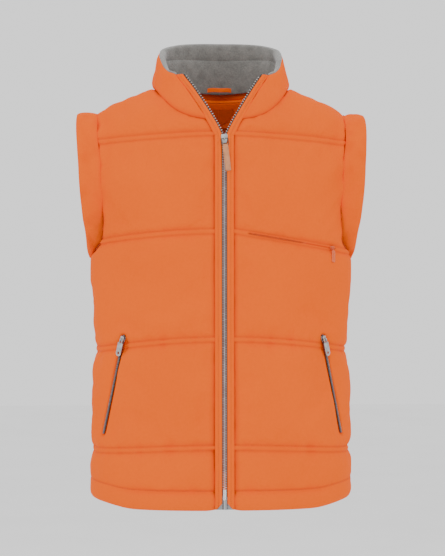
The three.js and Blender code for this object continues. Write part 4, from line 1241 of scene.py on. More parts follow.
@dataclass
class QuiltedFront:
    """One front: shell, wadding and lining, quilted together."""

    form: VestForm
    quilting: Quilting
    side: Side
    wardrobe: Wardrobe
    pocket: tuple[tuple[float, float], tuple[float, float]] = ((0.160, 0.272), (0.192, 0.119))

    def build(self) -> list[bpy.types.Object]:
        """Make and dress the front's pieces."""
        left = self.side is Side.LEFT
        word = self.side.word
        grid = PanelGrid(self.form, self.quilting, Face.FRONT, chest=left, pocket=self.pocket,
                         seed=3.1 + self.side)
        panel = QuiltedPanel(f"{word}_front", grid, self.side, self.wardrobe)
        shell = panel.shell()
        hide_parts(f"{word}_front_shell", f"{word}_front_hem", f"{word}_side_shell", f"{word}_side_hem",
                    f"{word}_front_fold")
        seams = panel.stitches()
        filling = panel.filling()
        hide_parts(f"{word}_front_wadding", f"{word}_side_wadding", f"{word}_pocket_bag",
                    *(["chest_pocket_bag"] if left else []))
        lining, inside = panel.lining(4.0)
        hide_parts(f"{word}_front_lining", f"{word}_side_lining")
        for piece in (shell, seams, filling, lining):
            bend_with_front(piece)
        return [shell, seams, filling, lining]


@dataclass
class QuiltedBack:
    """The back: shell, wadding and lining."""

    form: VestForm
    quilting: Quilting
    wardrobe: Wardrobe

    def build(self) -> list[bpy.types.Object]:
        """Make and dress the back's pieces."""
        grid = PanelGrid(self.form, self.quilting, Face.BACK, seed=8.7)
        panel = QuiltedPanel("back", grid, Side.LEFT, self.wardrobe)
        shell = panel.shell()
        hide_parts("back_shell", "back_hem")
        seams = panel.stitches()
        filling = panel.filling()
        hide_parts("back_wadding")
        lining, inside = panel.lining(1.0)
        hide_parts("back_lining")
        for piece in (shell, seams, filling, lining):
            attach(piece, "root")
        return [shell, seams, filling, lining, *self._neck()]

    def _patch(self, name: str, width: float, top: float, bottom: float, layer: Layer, half_round: bool):
        """A patch of cloth that lies on the inside of the back.

        Args:
            name: the object's name.
            width: half the patch's width.
            top: how far its upper edge is under the neck seam.
            bottom: height of its lower edge above the hem.
            layer: the layer it lies in.
            half_round: whether its lower edge is a half circle.

        Returns:
            The patch and its grid of points.
        """
        u = np.linspace(-1, 1, 31)[None, :]
        v = np.linspace(0, 1, 19)[:, None]
        x = width * u * (np.ones_like(v) if not half_round else 1.0)
        upper = self.form.neckline(Face.BACK, x) - top
        lower = bottom + (upper - bottom) * ((1 - np.sqrt(np.clip(1 - u * u, 0, 1))) * 0.86 if half_round
                                             else 0 * u)
        h = lerp(lower, upper, v)
        x = x + 0 * v
        surface = self.form.point(Face.BACK, x, h)
        normal = -grid_normals(surface)
        points = surface - normal * (layer.value + 0.0004 * ripples(surface, 40.0, 2.0))[..., None]
        return sheet_object(name, points, True), points

    def _neck(self) -> list[bpy.types.Object]:
        """The facing under the back collar and the plain half-round patch on it."""
        facing, points = self._patch("neck_facing", 0.075, 0.0012, 0.625, Layer.FACING, False)
        thicken(facing, 0.0006)
        self.wardrobe.dress(facing, "shell", "lining_fabric")
        # Painted shade: the facing is shell cloth darkened evenly a quarter of the way to its darker colour,
        # for the shadow inside the back neck.
        shade_and_mottle_attribute(facing, np.full(len(facing.data.vertices), 0.25))
        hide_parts("back_neck_facing")
        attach(facing, "root")
        label, points = self._patch("half_round_patch", 0.026, 0.010, 0.630, Layer.LABEL, True)
        thicken(label, 0.0005)
        self.wardrobe.dress(label, "label", "label_cloth")
        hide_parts("neck_label")
        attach(label, "root")
        return [facing, label]


# ---------------------------------------------------------------- arm bands


@dataclass
class ArmBand:
    """The padded band round one armhole."""

    form: VestForm
    side: Side
    wardrobe: Wardrobe
    reach: float = 0.237
    under: float = 0.215
    inside: float = 0.0035
    thickness: float = 0.009
    turns: int = 96
    ring: int = 20

    def build(self) -> bpy.types.Object:
        """Make the band as a tube of many rings round the armhole."""
        form = self.form
        turn = 2 * math.pi * np.arange(self.turns) / self.turns
        middle = form.armhole_top - form.armhole_height / 2
        tall, deep = form.armhole_height / 2, form.armhole_half_depth
        h = middle + tall * np.sin(turn)
        front = form.armhole_x(Face.FRONT, h)
        back = form.armhole_x(Face.BACK, h)
        edge = form.sleeve_edge(h, np.where(np.cos(turn) > 0, front, back))
        sewn = edge
        for _ in range(3):
            edge = (np.roll(edge, 1) + 2 * edge + np.roll(edge, -1)) / 4
        rise = ((1 + np.sin(turn)) / 2) ** 0.6
        out = np.maximum(edge + 0.003, lerp(self.under, self.reach, rise))
        phi = 2 * math.pi * np.arange(self.ring) / self.ring
        c, s = np.cos(phi)[None, :], np.sin(phi)[None, :]
        low = (np.minimum(edge, sewn) - self.inside)[:, None]
        high = out[:, None]
        x = (low + high) / 2 + (high - low) / 2 * signed_power(c, 0.7)
        place = np.stack([x, -(deep - 0.005) * np.cos(turn)[:, None] + 0 * x,
                          (middle + tall * np.sin(turn) - form.length)[:, None] + 0 * x], -1)
        skew = place + place[..., :1] * np.array([0.0, 0.0, -1.1])
        crush = 0.0012 * ripples(place, 1.0, 6.0 + self.side, (26, 34, 34))
        crush += 0.0056 * (0.28 - np.abs(ripples(skew, 1.0, 2.0 + self.side, (9, 30, 36))))
        half = self.thickness / 2 + 0.0004 + crush * (0.5 + 0.5 * np.abs(s))
        row = np.exp(-(((place[..., 2] + 0.0855) / 0.0016) ** 2))
        valley = 0.0012 * row
        inset = 0.0050 - signed_power(s, 0.75) * (half - valley * (s > 0))
        x = x + 0.0015 * ripples(place, 14.0, 1.0) * (c > 0.3)
        y = -(deep - inset) * np.cos(turn)[:, None]
        z = middle + (tall - inset) * np.sin(turn)[:, None] - form.length
        rings = mirror(np.stack([x, y, z], axis=-1), self.side)
        band = ring_object(f"{self.side.word}_padded_band", rings, closed=True)
        sub = band.modifiers.new("sub", "SUBSURF")
        sub.levels = sub.render_levels = 1
        settle_modifiers(band)
        coordinates = np.array([v.co[:] for v in band.data.vertices])
        # Darker in random patches over the band.
        shade_and_mottle_attribute(band, 0.25 * np.clip(ripples(coordinates, 30.0, 2.0), 0, 1))
        self.wardrobe.dress(band, "shell", "shell_fabric")
        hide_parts(f"{self.side.word}_arm_band")
        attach(band, "root")
        return band


# ---------------------------------------------------------------- collar


def centripetal(points: Array, t: Array) -> Array:
    """Points at t (0 to 1) of a centripetal Catmull-Rom curve through the given points."""
    count = len(points)
    padded = np.concatenate([[2 * points[0] - points[1]], points, [2 * points[-1] - points[-2]]])
    place = np.clip(np.asarray(t) * (count - 1), 0, count - 1 - 1e-9)
    i = place.astype(int)
    w = (place - i)[..., None]
    p0, p1, p2, p3 = (padded[i + k] for k in range(4))
    d = [np.maximum(np.sum((b - a) ** 2, -1, keepdims=True) ** 0.25, 1e-6) for a,
         b in ((p0, p1), (p1, p2), (p2, p3))]
    m1 = ((p1 - p0) / d[0] - (p2 - p0) / (d[0] + d[1]) + (p2 - p1) / d[1]) * d[1]
    m2 = ((p2 - p1) / d[1] - (p3 - p1) / (d[1] + d[2]) + (p3 - p2) / d[2]) * d[1]
    return (2 * p1 - 2 * p2 + m1 + m2) * w**3 + (-3 * p1 + 3 * p2 - 2 * m1 - m2) * w**2 + m1 * w + p1


@dataclass
class Collar:
    """The stand collar: padded shell outside, grey fleece inside, rolled over the rim."""

    form: VestForm
    wardrobe: Wardrobe
    seat: float = -0.003
    back_seat: float = -0.003
    front_aside: float = 0.0142
    wing_top: float = 0.0150
    edge_stations: int = 3
    parts: tuple[tuple[str, float, float, int], ...] = (("left", 0.0, 5.0, 44), ("back", 5.0, 15.0, 96),
                                                        ("right", 15.0, 20.0, 44))

    def __post_init__(self) -> None:
        """Set out the stations of the neck seam and of the rim."""
        form = self.form
        half = form.neck_half
        inner = float(form.panel_inner(np.array(float(form.neckline(Face.FRONT, np.array(0.028))))))
        base = []
        for x in (inner, 0.34 * half, 0.5 * half, 0.68 * half, 0.84 * half, 0.95 * half):
            h = float(form.neckline(Face.FRONT, np.array(x))) + self.seat
            y = float(form.depth(Face.FRONT, np.array(x), np.array(h - self.seat)))
            base.append((x, y, h - form.length))
        base.append((half, 0.0, self.back_seat))
        for share in (0.92, 0.67, 0.34, 0.0):
            x = share * half
            h = float(form.neckline(Face.BACK, np.array(x)))
            base.append((x, float(form.depth(Face.BACK, np.array(x), np.array(h))),
                         h + self.back_seat - form.length))
        points, along, aside, _ = form.zip_frames(np.array([form.open_top]))
        start = points[0] + aside[0] * self.front_aside
        start = start + along[0] * (self.wing_top - start[2]) / along[0][2]
        second = np.array([0.0825, -0.0535, 0.0180])
        rim = [start, (start + second) / 2, second, (0.088, -0.046, 0.0215), (0.094, -0.035, 0.029),
               (0.099, -0.015, 0.044), (0.100, 0.003, 0.055), (0.096, 0.024, 0.065), (0.072, 0.047, 0.074),
               (0.038, 0.058, 0.078), (0.0, 0.061, 0.079)]
        self.base = self._whole(np.array(base))
        self.rim = self._whole(np.array(rim))

    def _whole(self, half: Array) -> Array:
        """Both halves of a line of stations."""
        return np.concatenate([half, half[:-1][::-1] * np.array([-1, 1, 1])])

    def point(self, s: Array, v: Array) -> Array:
        """Points of the outer face: s counts stations round the collar, v goes from neck seam to rim."""
        last = len(self.base) - 1
        base, rim = centripetal(self.base, s / last), centripetal(self.rim, s / last)
        point = lerp(base, rim, v[..., None])
        from_edge = np.minimum(s, last - s)
        hand = np.where(s > last / 2, -1.0, 1.0)[..., None]
        first = lerp(self.base[0], self.rim[0], v[..., None])
        h = (point[..., 2] + self.form.length).reshape(-1)
        h = h - self.form.zip_frames(np.clip(h, 0.01, self.form.open_top))[2][:, 2] * self.front_aside
        within = np.clip(h, 0.01, self.form.open_top)
        at, along, aside, _ = self.form.zip_frames(within)
        at = at + along * ((h - within) / along[:, 2])[:, None]
        edge = (at + aside * self.front_aside).reshape(point.shape)
        share = np.where(from_edge < self.edge_stations, (1 - from_edge / self.edge_stations) ** 2, 0)[...,
            None]
        return point + (edge - first) * share * np.concatenate([hand, hand * 0 + 1, hand * 0 + 1], axis=-1)

    def grid(self, start: float, end: float, columns: int, v: Array) -> tuple[Array, Array]:
        """Points and outward normals over a span of stations."""
        last = len(self.base) - 1
        s, v = np.meshgrid(np.linspace(start, end, columns), v)
        step = 0.04
        along = self.point(np.minimum(s + step, last), v) - self.point(np.maximum(s - step, 0), v)
        up = self.point(s, np.minimum(v + 0.1, 1)) - self.point(s, np.maximum(v - 0.1, 0))
        return self.point(s, v), unit(np.cross(along, up))

    def build(self) -> list[bpy.types.Object]:
        """Make and dress the collar's three spans."""
        pieces = []
        for word, start, end, columns in self.parts:
            pieces += self._span(word, start, end, columns)
        return pieces

    def _swell(self, v: Array, p: Array, seed: float) -> Array:
        """How the padded outside stands and creases over the collar."""
        fold = 0.30 - np.abs(ripples(p + p[..., :1] * np.array([0, 0, 0.8]), 1.0, seed, (26, 24, 12)))
        broad = ripples(p, 14.0, seed + 4)
        ends = np.minimum(1, np.minimum(v, 1 - v) * 6)
        return (0.0006 + 0.0042 * fold + 0.0015 * broad) * smooth(ends)

    def _span(self, word: str, start: float, end: float, columns: int) -> list[bpy.types.Object]:
        """One span: outside and fleece."""
        v = np.concatenate([[0.0, 0.02, 0.05], np.linspace(0.1, 0.92, 20), [0.95, 0.975, 1.0]])
        p, n = self.grid(start, end, columns, v)
        s, vv = np.meshgrid(np.linspace(start, end, columns), v)
        last = len(self.base) - 1
        out = np.maximum(self._swell(vv, p, 5.0), -0.0014)
        out -= 0.0030 * np.exp(-vv / 0.04) - 0.0012
        out -= 0.0026 * np.exp(-np.minimum(s, last - s) / 0.12)
        out -= 0.0030 * np.exp(-(1 - vv) / 0.035)
        shell = sheet_object(f"{word}_collar_outside", p + n * out[..., None], False)
        # Painted shade: darker at the neck seam and where the outside sinks.
        shade_and_mottle_attribute(shell, np.clip(0.8 * np.exp(-vv / 0.03) + 0.15 * np.clip(-out * 400, 0, 1), 0, 1))
        thicken(shell, 0.0012, subdivide=1)
        self.wardrobe.dress(shell, "shell", "shell_fabric")
        section = self._fleece_section()
        rows = []
        for share, depth in section:
            q, m = self.grid(start, end, columns, np.array([share]))
            from_edge = np.minimum(s[0], last - s[0])[None, :]
            depth = depth * lerp(0.55, 1.0, smooth(from_edge / 1.2)) + 0.0030 * np.exp(-from_edge / 0.3)
            rough = 0.0007 * ripples(q, 26.0, 3.0) + 0.0005 * ripples(q, 1.0, 7.0, (60, 60, 14))
            rows.append((q - m * (depth + rough)[..., None])[0])
        fleece_points = np.array(rows)
        fleece = sheet_object(f"{word}_collar_fleece_lining", fleece_points, True)
        thicken(fleece, 0.0010, subdivide=1)
        self.wardrobe.dress(fleece, "fleece", "fleece")
        name = {"left": "left_collar", "right": "right_collar", "back": "back_collar"}[word]
        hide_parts(f"{name}_shell")
        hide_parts(f"{name}_fleece")
        for obj in (shell, fleece):
            if word == "back":
                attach(obj, "root")
            else:
                bend_with_front(obj)
        return [shell, fleece]

    def _fleece_section(self) -> list[tuple[float, float]]:
        """Share of the height, and depth under the outside, from over the rim and down inside."""
        roll = [(0.955, 0.0012), (0.975, 0.0002), (0.992, 0.0004), (1.0, 0.0022), (1.0, 0.0050),
                (0.985, 0.0078),
                (0.955, 0.0092)]
        down = [(0.90, 0.0094), (0.84, 0.0092), (0.78, 0.0088), (0.725, 0.0074), (0.705, 0.0060),
                (0.685, 0.0074),
                (0.64, 0.0088), (0.56, 0.0094), (0.47, 0.0095), (0.38, 0.0093), (0.30, 0.0090),
                (0.22, 0.0086),
                (0.15, 0.0082), (0.10, 0.0078)]
        return roll + down


# ---------------------------------------------------------------- zips


def box(name: str, centre: tuple[float, float, float], size: tuple[float, float, float],
        bevel: float) -> bpy.types.Object:
    """A block with rounded edges."""
    (x, y, z), (a, b, c) = centre, (size[0] / 2, size[1] / 2, size[2] / 2)
    obj = plate(name, [(x - a, y - b), (x + a, y - b), (x + a, y + b), (x - a, y + b)], z - c, z + c)
    rounded(obj, bevel)
    return obj


def bar_x(name: str, radius: float, half: float,
          at: tuple[float, float, float] = (0, 0, 0)) -> bpy.types.Object:
    """A round bar along X."""
    return tube(name, [(at[0] - half, at[1], at[2]), (at[0], at[1], at[2]), (at[0] + half, at[1], at[2])],
                radius, 12)


def tongue(half: float, length: float, radius: float, steps: int = 6) -> list[tuple[float, float]]:
    """An outline that hangs from y = 0 down to -length, with rounded lower corners."""
    points = [(half, 0.0)]
    for centre, first in ((half - radius, 0.0), (-half + radius, -0.5 * math.pi)):
        for i in range(steps + 1):
            angle = first - 0.5 * math.pi * i / steps
            points.append((centre + radius * math.cos(angle), -length + radius + radius * math.sin(angle)))
    return [*points, (-half, 0.0)]


def place(obj: bpy.types.Object, matrix: Matrix, side: Side = Side.LEFT) -> bpy.types.Object:
    """Move a piece's points into place, mirrored for the right side."""
    obj.data.transform(matrix)
    if side is Side.RIGHT:
        obj.data.transform(Matrix.Diagonal((-1, 1, 1, 1)))
        obj.data.flip_normals()
    return obj


def basis(x: Array, y: Array, z: Array, origin: Array) -> Matrix:
    """A frame from its three axes and its origin."""
    matrix = Matrix.Identity(4)
    for column, axis in enumerate((x, y, z, origin)):
        for row in range(3):
            matrix[row][column] = float(axis[row])
    return matrix


@dataclass(frozen=True)
class SliderShape:
    """A zip slider in its own frame: X across the chain, Y the way it opens from, Z out of the garment."""

    length: float
    half_width: float
    plate: float
    chain: float
    z: float
    pin_room: float
    along: bool = False
    clearance: float = 0.00035

    OUTLINE = ((-0.62, -0.5), (0.62, -0.5), (0.8, -0.3), (0.93, -0.02), (1, 0.25), (0.97, 0.4), (0.8, 0.5),
               (-0.8, 0.5), (-0.97, 0.4), (-1, 0.25), (-0.93, -0.02), (-0.8, -0.3))

    @property
    def top(self) -> float:
        """Z of the front plate's face."""
        return self.z + self.chain / 2 + self.clearance + self.plate

    @property
    def room(self) -> float:
        """Room for the pull's bar under the bail's roof."""
        return self.pin_room + 0.0006

    @property
    def pin_z(self) -> float:
        """Z of the pull's bar."""
        return self.top + self.room / 2

    @property
    def roof_z(self) -> float:
        """Z of the middle of the bail's roof."""
        return self.top + self.room + 0.0004

    def build(self, name: str) -> bpy.types.Object:
        """Both plates, the web between them and the bail on top."""
        outline = [(x * self.half_width, y * self.length) for x, y in self.OUTLINE]
        low = self.z - self.chain / 2 - self.clearance
        half = self.room / 2 + (0.0016 if self.along else 0.0004)
        front = plate("front", outline, self.top - self.plate, self.top, self.plate * 0.4)
        back = plate("back", outline, low - self.plate, low, self.plate * 0.4)
        web = box("web", (0, self.length * 0.28, self.z), (0.0005, self.length * 0.3, self.top - low), 0.0001)
        path = [(0, -half, self.top - 0.0003), (0, -half, self.top + self.room * 0.7),
                (0, -half * 0.7, self.roof_z), (0, half * 0.7, self.roof_z),
                (0, half, self.top + self.room * 0.7), (0, half, self.top - 0.0003)]
        rings = []
        for i, point in enumerate(path):
            before, after = np.array(path[max(i - 1, 0)]), np.array(path[min(i + 1, len(path) - 1)])
            along = unit(after - before)
            lift = unit(np.cross(np.array([1.0, 0, 0]), along))
            rings.append([np.array(point) + np.array([sx * 0.0009, 0, 0]) + lift * sz * 0.0004
                          for sx, sz in ((-1, -1), (1, -1), (1, 1), (-1, 1))])
        bail = ring_object("bail", np.array(rings))
        rounded(bail, 0.00015)
        shoulder = plate("shoulder", [(x * 0.55, y * 0.62) for x, y in outline], self.top,
                         self.top + 0.00025, 0.0001)
        return joined(name, [front, back, web, bail, shoulder])


@dataclass
class MainZip:
    """The full-length zip: plackets, tape, teeth, box, pin, slider and its leather pull."""

    form: VestForm
    wardrobe: Wardrobe
    placket_inner: float = 0.0041
    placket_outer: float = 0.015
    tape_edge: float = 0.014
    chain_half: float = 0.0033
    middle: float = -0.0023
    bottom: float = 0.003
    end_length: float = 0.015
    pitch: float = 0.0038
    levelled: float = 0.024
    pull_tilt: float = math.radians(7)
    link_length: float = 0.010
    link_half: float = 0.0059
    wire: float = 0.0008
    tab: tuple[float, float, float] = (0.041, 0.0046, 0.0022)

    def build(self) -> list[bpy.types.Object]:
        """Make both halves, then the slider and the pull."""
        pieces = []
        for side in Side:
            pieces += self._half(side)
        return pieces + self._slider()

    def _strip(self, side: Side, h: Array, section: Array, waves: float = 0.0) -> Array:
        """Sweep a section of (aside, out) points along the zip line.

        Args:
            side: which half.
            h: heights along the zip.
            section: pairs of aside and out.
            waves: how much the strip waves as sewn cloth does.

        Returns:
            An array of rings, one for each height.
        """
        point, along, aside, out = self.form.zip_frames(h)
        section = np.asarray(section, float)
        level = smooth((h - self.form.open_top + self.levelled) / self.levelled)
        rise = level[:, None] * aside[:, 2:] * section[None, :, 0] / along[:, 2:]
        point = point[:, None] - along[:, None] * rise[..., None]
        wobble = waves * (np.sin(h * 210 + side) * np.sin(h * 57 + 2 * side))[:, None, None]
        rings = point + aside[:, None] * section[None, :, :1] + out[:, None] * (section[None, :, 1:] + wobble)
        return mirror(rings, side)

    def _half(self, side: Side) -> list[bpy.types.Object]:
        """Placket, inner facing, tape and teeth of one side."""
        word = side.word
        top = self.form.open_top
        h = np.concatenate([np.linspace(0.0035, 0.585, 150), np.linspace(0.588, top, 50)])
        a, b = self.placket_inner, self.placket_outer + 0.0006
        folded = [(b, -0.0030), (b - 0.0008, -0.0014), (b - 0.0026, -0.0004), (0.0108, 0.0003),
                  (0.0097, -0.0006), (0.0086, 0.0003), (a + 0.0016, 0.0003),
                  (a + 0.0007, -0.0002), (a, -0.0008), (a + 0.0005, -0.0013), ((a + b) / 2, -0.00135),
                  (b - 0.001, -0.0034)]
        rings = self._strip(side, h, folded, 0.0004)
        cut_up = 0.0125 * (1 - (np.array(folded)[:, 0] - a) / (b - a)) + 0.0008 - self.form.length
        rings[..., 2] = np.maximum(rings[..., 2], cut_up[None, :] + 0.0002 * np.arange(len(h))[:, None])
        placket = ring_object(f"{word}_placket_fold", rings)
        shade_and_mottle_attribute(placket, np.zeros(len(placket.data.vertices)))
        self.wardrobe.dress(placket, "shell", "shell_fabric")
        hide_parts(f"{word}_placket")
        thread_h = np.linspace(0.006, top - 0.004, 400)
        point, _, aside, out = self.form.zip_frames(thread_h)
        lines = [(mirror(point + aside * 0.0097 - out * 0.0003, side), mirror(out, side))]
        thread = stitches_object(f"{word}_placket_stitches", lines)
        self.wardrobe.dress(thread, "thread", "shell_fabric")
        inner = [(a, -0.0036), (a, -0.0046), (b - 0.001, -0.0050), (b - 0.001, -0.0036)]
        facing = ring_object(f"{word}_placket_inside", self._strip(side, h, inner, 0.0003))
        self.wardrobe.dress(facing, "lining", "lining_fabric")
        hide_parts(f"{word}_placket_facing")
        c = self.chain_half + 0.0001
        m = self.middle
        woven = [(c - 0.0012, m + 0.0003), (c - 0.0004, m + 0.0008), (c + 0.0004, m + 0.0003),
                 (self.tape_edge, m + 0.0003),
                 (self.tape_edge, m - 0.0003), (c + 0.0004, m - 0.0003), (c - 0.0004, m - 0.0008),
                 (c - 0.0012, m - 0.0003)]
        tape = ring_object(f"{word}_zip_tape_woven", self._strip(side, h, woven))
        self.wardrobe.dress(tape, "tape", "zip_grey")
        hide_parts(f"{word}_zip_tape")
        teeth = self._teeth(side)
        ends = self._end(side)
        for obj in (placket, thread, facing, tape, teeth):
            bend_with_front(obj)
        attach(ends, f"{word}_front")
        return [placket, thread, facing, tape, teeth, ends]

    def _teeth(self, side: Side) -> bpy.types.Object:
        """One side's teeth, set half a pitch off from the other's so that they mesh."""
        shift = 0.0 if side is Side.LEFT else self.pitch / 2
        heights = np.arange(self.bottom + self.end_length + 0.001 + shift, self.form.open_top - 0.002,
                            self.pitch)
        point, along, aside, out = self.form.zip_frames(heights)
        closed = heights < self.form.open_h - 0.008
        thick, half = 0.0013, self.pitch * 0.16
        points, faces = [], []
        for p, up, across, outward, shut in zip(point, along, aside, out, closed):
            head = -0.0005 if shut else 0.0008
            profile = [(self.chain_half, 0.75), (0.0019, 0.75), (0.0013, 0.6), (head + 0.0007, 1.15),
                       (head, 0.8)]
            first = len(points)
            for x, wide in profile:
                for su, so in ((-1, -1), (1, -1), (1, 1), (-1, 1)):
                    taper = 0.86 if x == head else 1.0
                    points.append(p + across * x + up * su * half * wide
                                  + outward * (self.middle + so * thick * taper * 0.85))
            for ring in range(len(profile) - 1):
                for k in range(4):
                    n = (k + 1) % 4
                    i = first + ring * 4
                    faces.append((i + k, i + n, i + 4 + n, i + 4 + k))
            faces += [(first + 3, first + 2, first + 1, first),
                      tuple(first + 4 * len(profile) - 4 + k for k in range(4))]
        teeth = new_object(f"{side.word}_zip_teeth_row", mirror(np.array(points), side), faces)
        tidy_mesh(teeth)
        rounded(teeth, 0.00012, 1)
        self.wardrobe.dress(teeth, "teeth", "zip_grey")
        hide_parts(f"{side.word}_zip_teeth")
        return teeth

    def _end(self, side: Side) -> bpy.types.Object:
        """The box or the pin at the zip's foot."""
        h = np.linspace(self.bottom, self.bottom + self.end_length, 4)
        wide, high, low = (self.chain_half, -0.0004, -0.0042) if side is Side.LEFT else (0.0022, -0.0012,
            -0.0034)
        section = [(0.0003, low), (wide, low), (wide, high), (0.0003, high)]
        end = ring_object("end", self._strip(side, h, section))
        rounded(end, 0.0005)
        film = ring_object("film", self._strip(side, np.linspace(0.0035, 0.024, 6), [
            (wide, self.middle - 0.0005), (0.0128, self.middle - 0.0005), (0.0128, self.middle + 0.0005),
            (wide, self.middle + 0.0005)]))
        piece = joined(f"{side.word}_zip_end", [end, film])
        self.wardrobe.dress(piece, "coil", "zip_grey")
        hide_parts("zip_box" if side is Side.LEFT else "zip_pin")
        return piece

    def _slider(self) -> list[bpy.types.Object]:
        """The slider at the neck, its link and the leather tab."""
        shape = SliderShape(0.014, 0.0053, 0.0012, 0.0026, self.middle, 2 * self.wire)
        point, along, aside, out = (v[0]
                                    for v in self.form.zip_frames(np.array([self.form.open_h - 0.001
                                        - 0.007])))
        point[0] = 0.0
        seat = basis(aside, along, out, point)
        slider = place(shape.build("zip_slider"), seat)
        self.wardrobe.dress(slider, "steel", "slider_steel")
        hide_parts("main_slider")
        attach(slider, "main_slider")
        hang = seat @ Matrix.Translation((0, 0, shape.pin_z)) @ Matrix.Rotation(self.pull_tilt, 4, "Z")
        half, length, wire = self.link_half - self.wire, self.link_length, self.wire
        corners = [(half, 0), (half, -length * 0.5), (half, -length), (0, -length), (-half, -length),
                   (-half, -length * 0.5),
                   (-half, 0), (0, 0)]
        link = place(tube("zip_link", [(x, y, 0) for x, y in corners], wire, 10, closed=True), hang)
        self.wardrobe.dress(link, "dark_steel", "link_steel")
        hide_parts("main_pull_link")
        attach(link, "main_pull")
        return [slider, link, *self._tab(hang, half)]

    def _tab(self, hang: Matrix, inside: float) -> list[bpy.types.Object]:
        """The leather tab folded round the link's lower bar, with its edge stitching."""
        long, half, thick = self.tab
        top = -self.link_length
        neck = min(half, inside - self.wire - 0.0003)
        outline = [(x, y) for x, y in tongue(half, long - 0.002, 0.0016)]
        body = [(x, y + top - 0.0022) for x, y in outline[1:-1]]
        shape = [(neck, top - 0.0006), (neck, top - 0.0014), (half, top - 0.0026), *body,
                 (-half, top - 0.0026), (-neck, top - 0.0014),
                 (-neck, top - 0.0006)]
        strap = plate("strap", shape, -thick / 2, thick / 2, 0.0004)
        fold = bar_x("fold", thick / 2 + 0.0004, neck, (0, top, 0))
        tab = place(joined("leather_tab", [strap, fold]), hang)
        self.wardrobe.dress(tab, "leather", "tab_leather")
        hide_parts("main_pull_tab")
        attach(tab, "main_pull")
        line = np.array([(x * 0.78, y * 0.985 + top * 0.02, 0) for x,
                         y in [(half, top - 0.004), *body, (-half, top - 0.004)]])
        rows = []
        for face in (1, -1):
            path = line + np.array([0, 0, face * (thick / 2 + 0.0001)])
            world = np.array([hang @ Vector(p) for p in path])
            rows.append((world, np.tile(np.array(hang.to_3x3() @ Vector((0, 0, face))), (len(world), 1))))
        thread = stitches_object("tab_stitches", rows, pitch=0.0019, length=0.0013, radius=0.00022)
        self.wardrobe.dress(thread, "leather", "tab_leather")
        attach(thread, "main_pull")
        return [tab, thread]


def coil_object(name: str, path: Array, out: Array, gap: float, radius: float, pitch: float):
    """Both rows of a coil zip: a loop of wire at every pitch on each side.

    Args:
        name: the object's name.
        path: the middle line.
        out: the garment's normal along it.
        gap: half the distance between the two rows of loops.
        radius: half a loop's size across.
        pitch: from one loop to the next.

    Returns:
        The object.
    """
    lengths = np.concatenate([[0], np.cumsum(np.linalg.norm(np.diff(path, axis=0), axis=1))])
    points, faces = [], []
    for hand in (1, -1):
        for start in np.arange(0.0005 + (pitch / 2 if hand < 0 else 0), lengths[-1] - 0.0005, pitch):
            centre = np.array([np.interp(start, lengths, path[:, k]) for k in range(3)])
            ahead = np.array([np.interp(start + 0.001, lengths, path[:, k]) for k in range(3)])
            normal = unit(np.array([np.interp(start, lengths, out[:, k]) for k in range(3)]))
            along = unit(ahead - centre)
            side = np.cross(along, normal) * hand
            first = len(points)
            marks = [(radius * 1.9, -0.35), (radius * 1.2, 0.75), (radius * 0.4, 0.8), (-0.0002, 0.3),
                     (-0.0002, -0.3), (radius * 0.4, -0.8)]
            for x, z in marks:
                spot = centre + side * (gap + x) + normal * z * radius * 0.9
                for c, s in ((1, 0), (0, 1), (-1, 0), (0, -1)):
                    points.append(spot + pitch * 0.3 * (c * along + s * normal))
            for ring in range(len(marks) - 1):
                for k in range(4):
                    i, n = first + ring * 4, (k + 1) % 4
                    faces.append((i + k, i + n, i + 4 + n, i + 4 + k))
    obj = new_object(name, np.array(points), faces)
    tidy_mesh(obj)
    return obj


def band_object(name: str, path: Array, out: Array, half: float, depth: float,
                thick: float) -> bpy.types.Object:
    """A flat tape along a path, at a depth under it."""
    along = unit(np.gradient(path, axis=0))
    side = unit(np.cross(along, out))
    centre = path - out * depth
    rings = np.stack([centre - side * half, centre + side * half, centre + side * half - out * thick,
                      centre - side * half - out * thick], axis=1)
    return ring_object(name, rings)


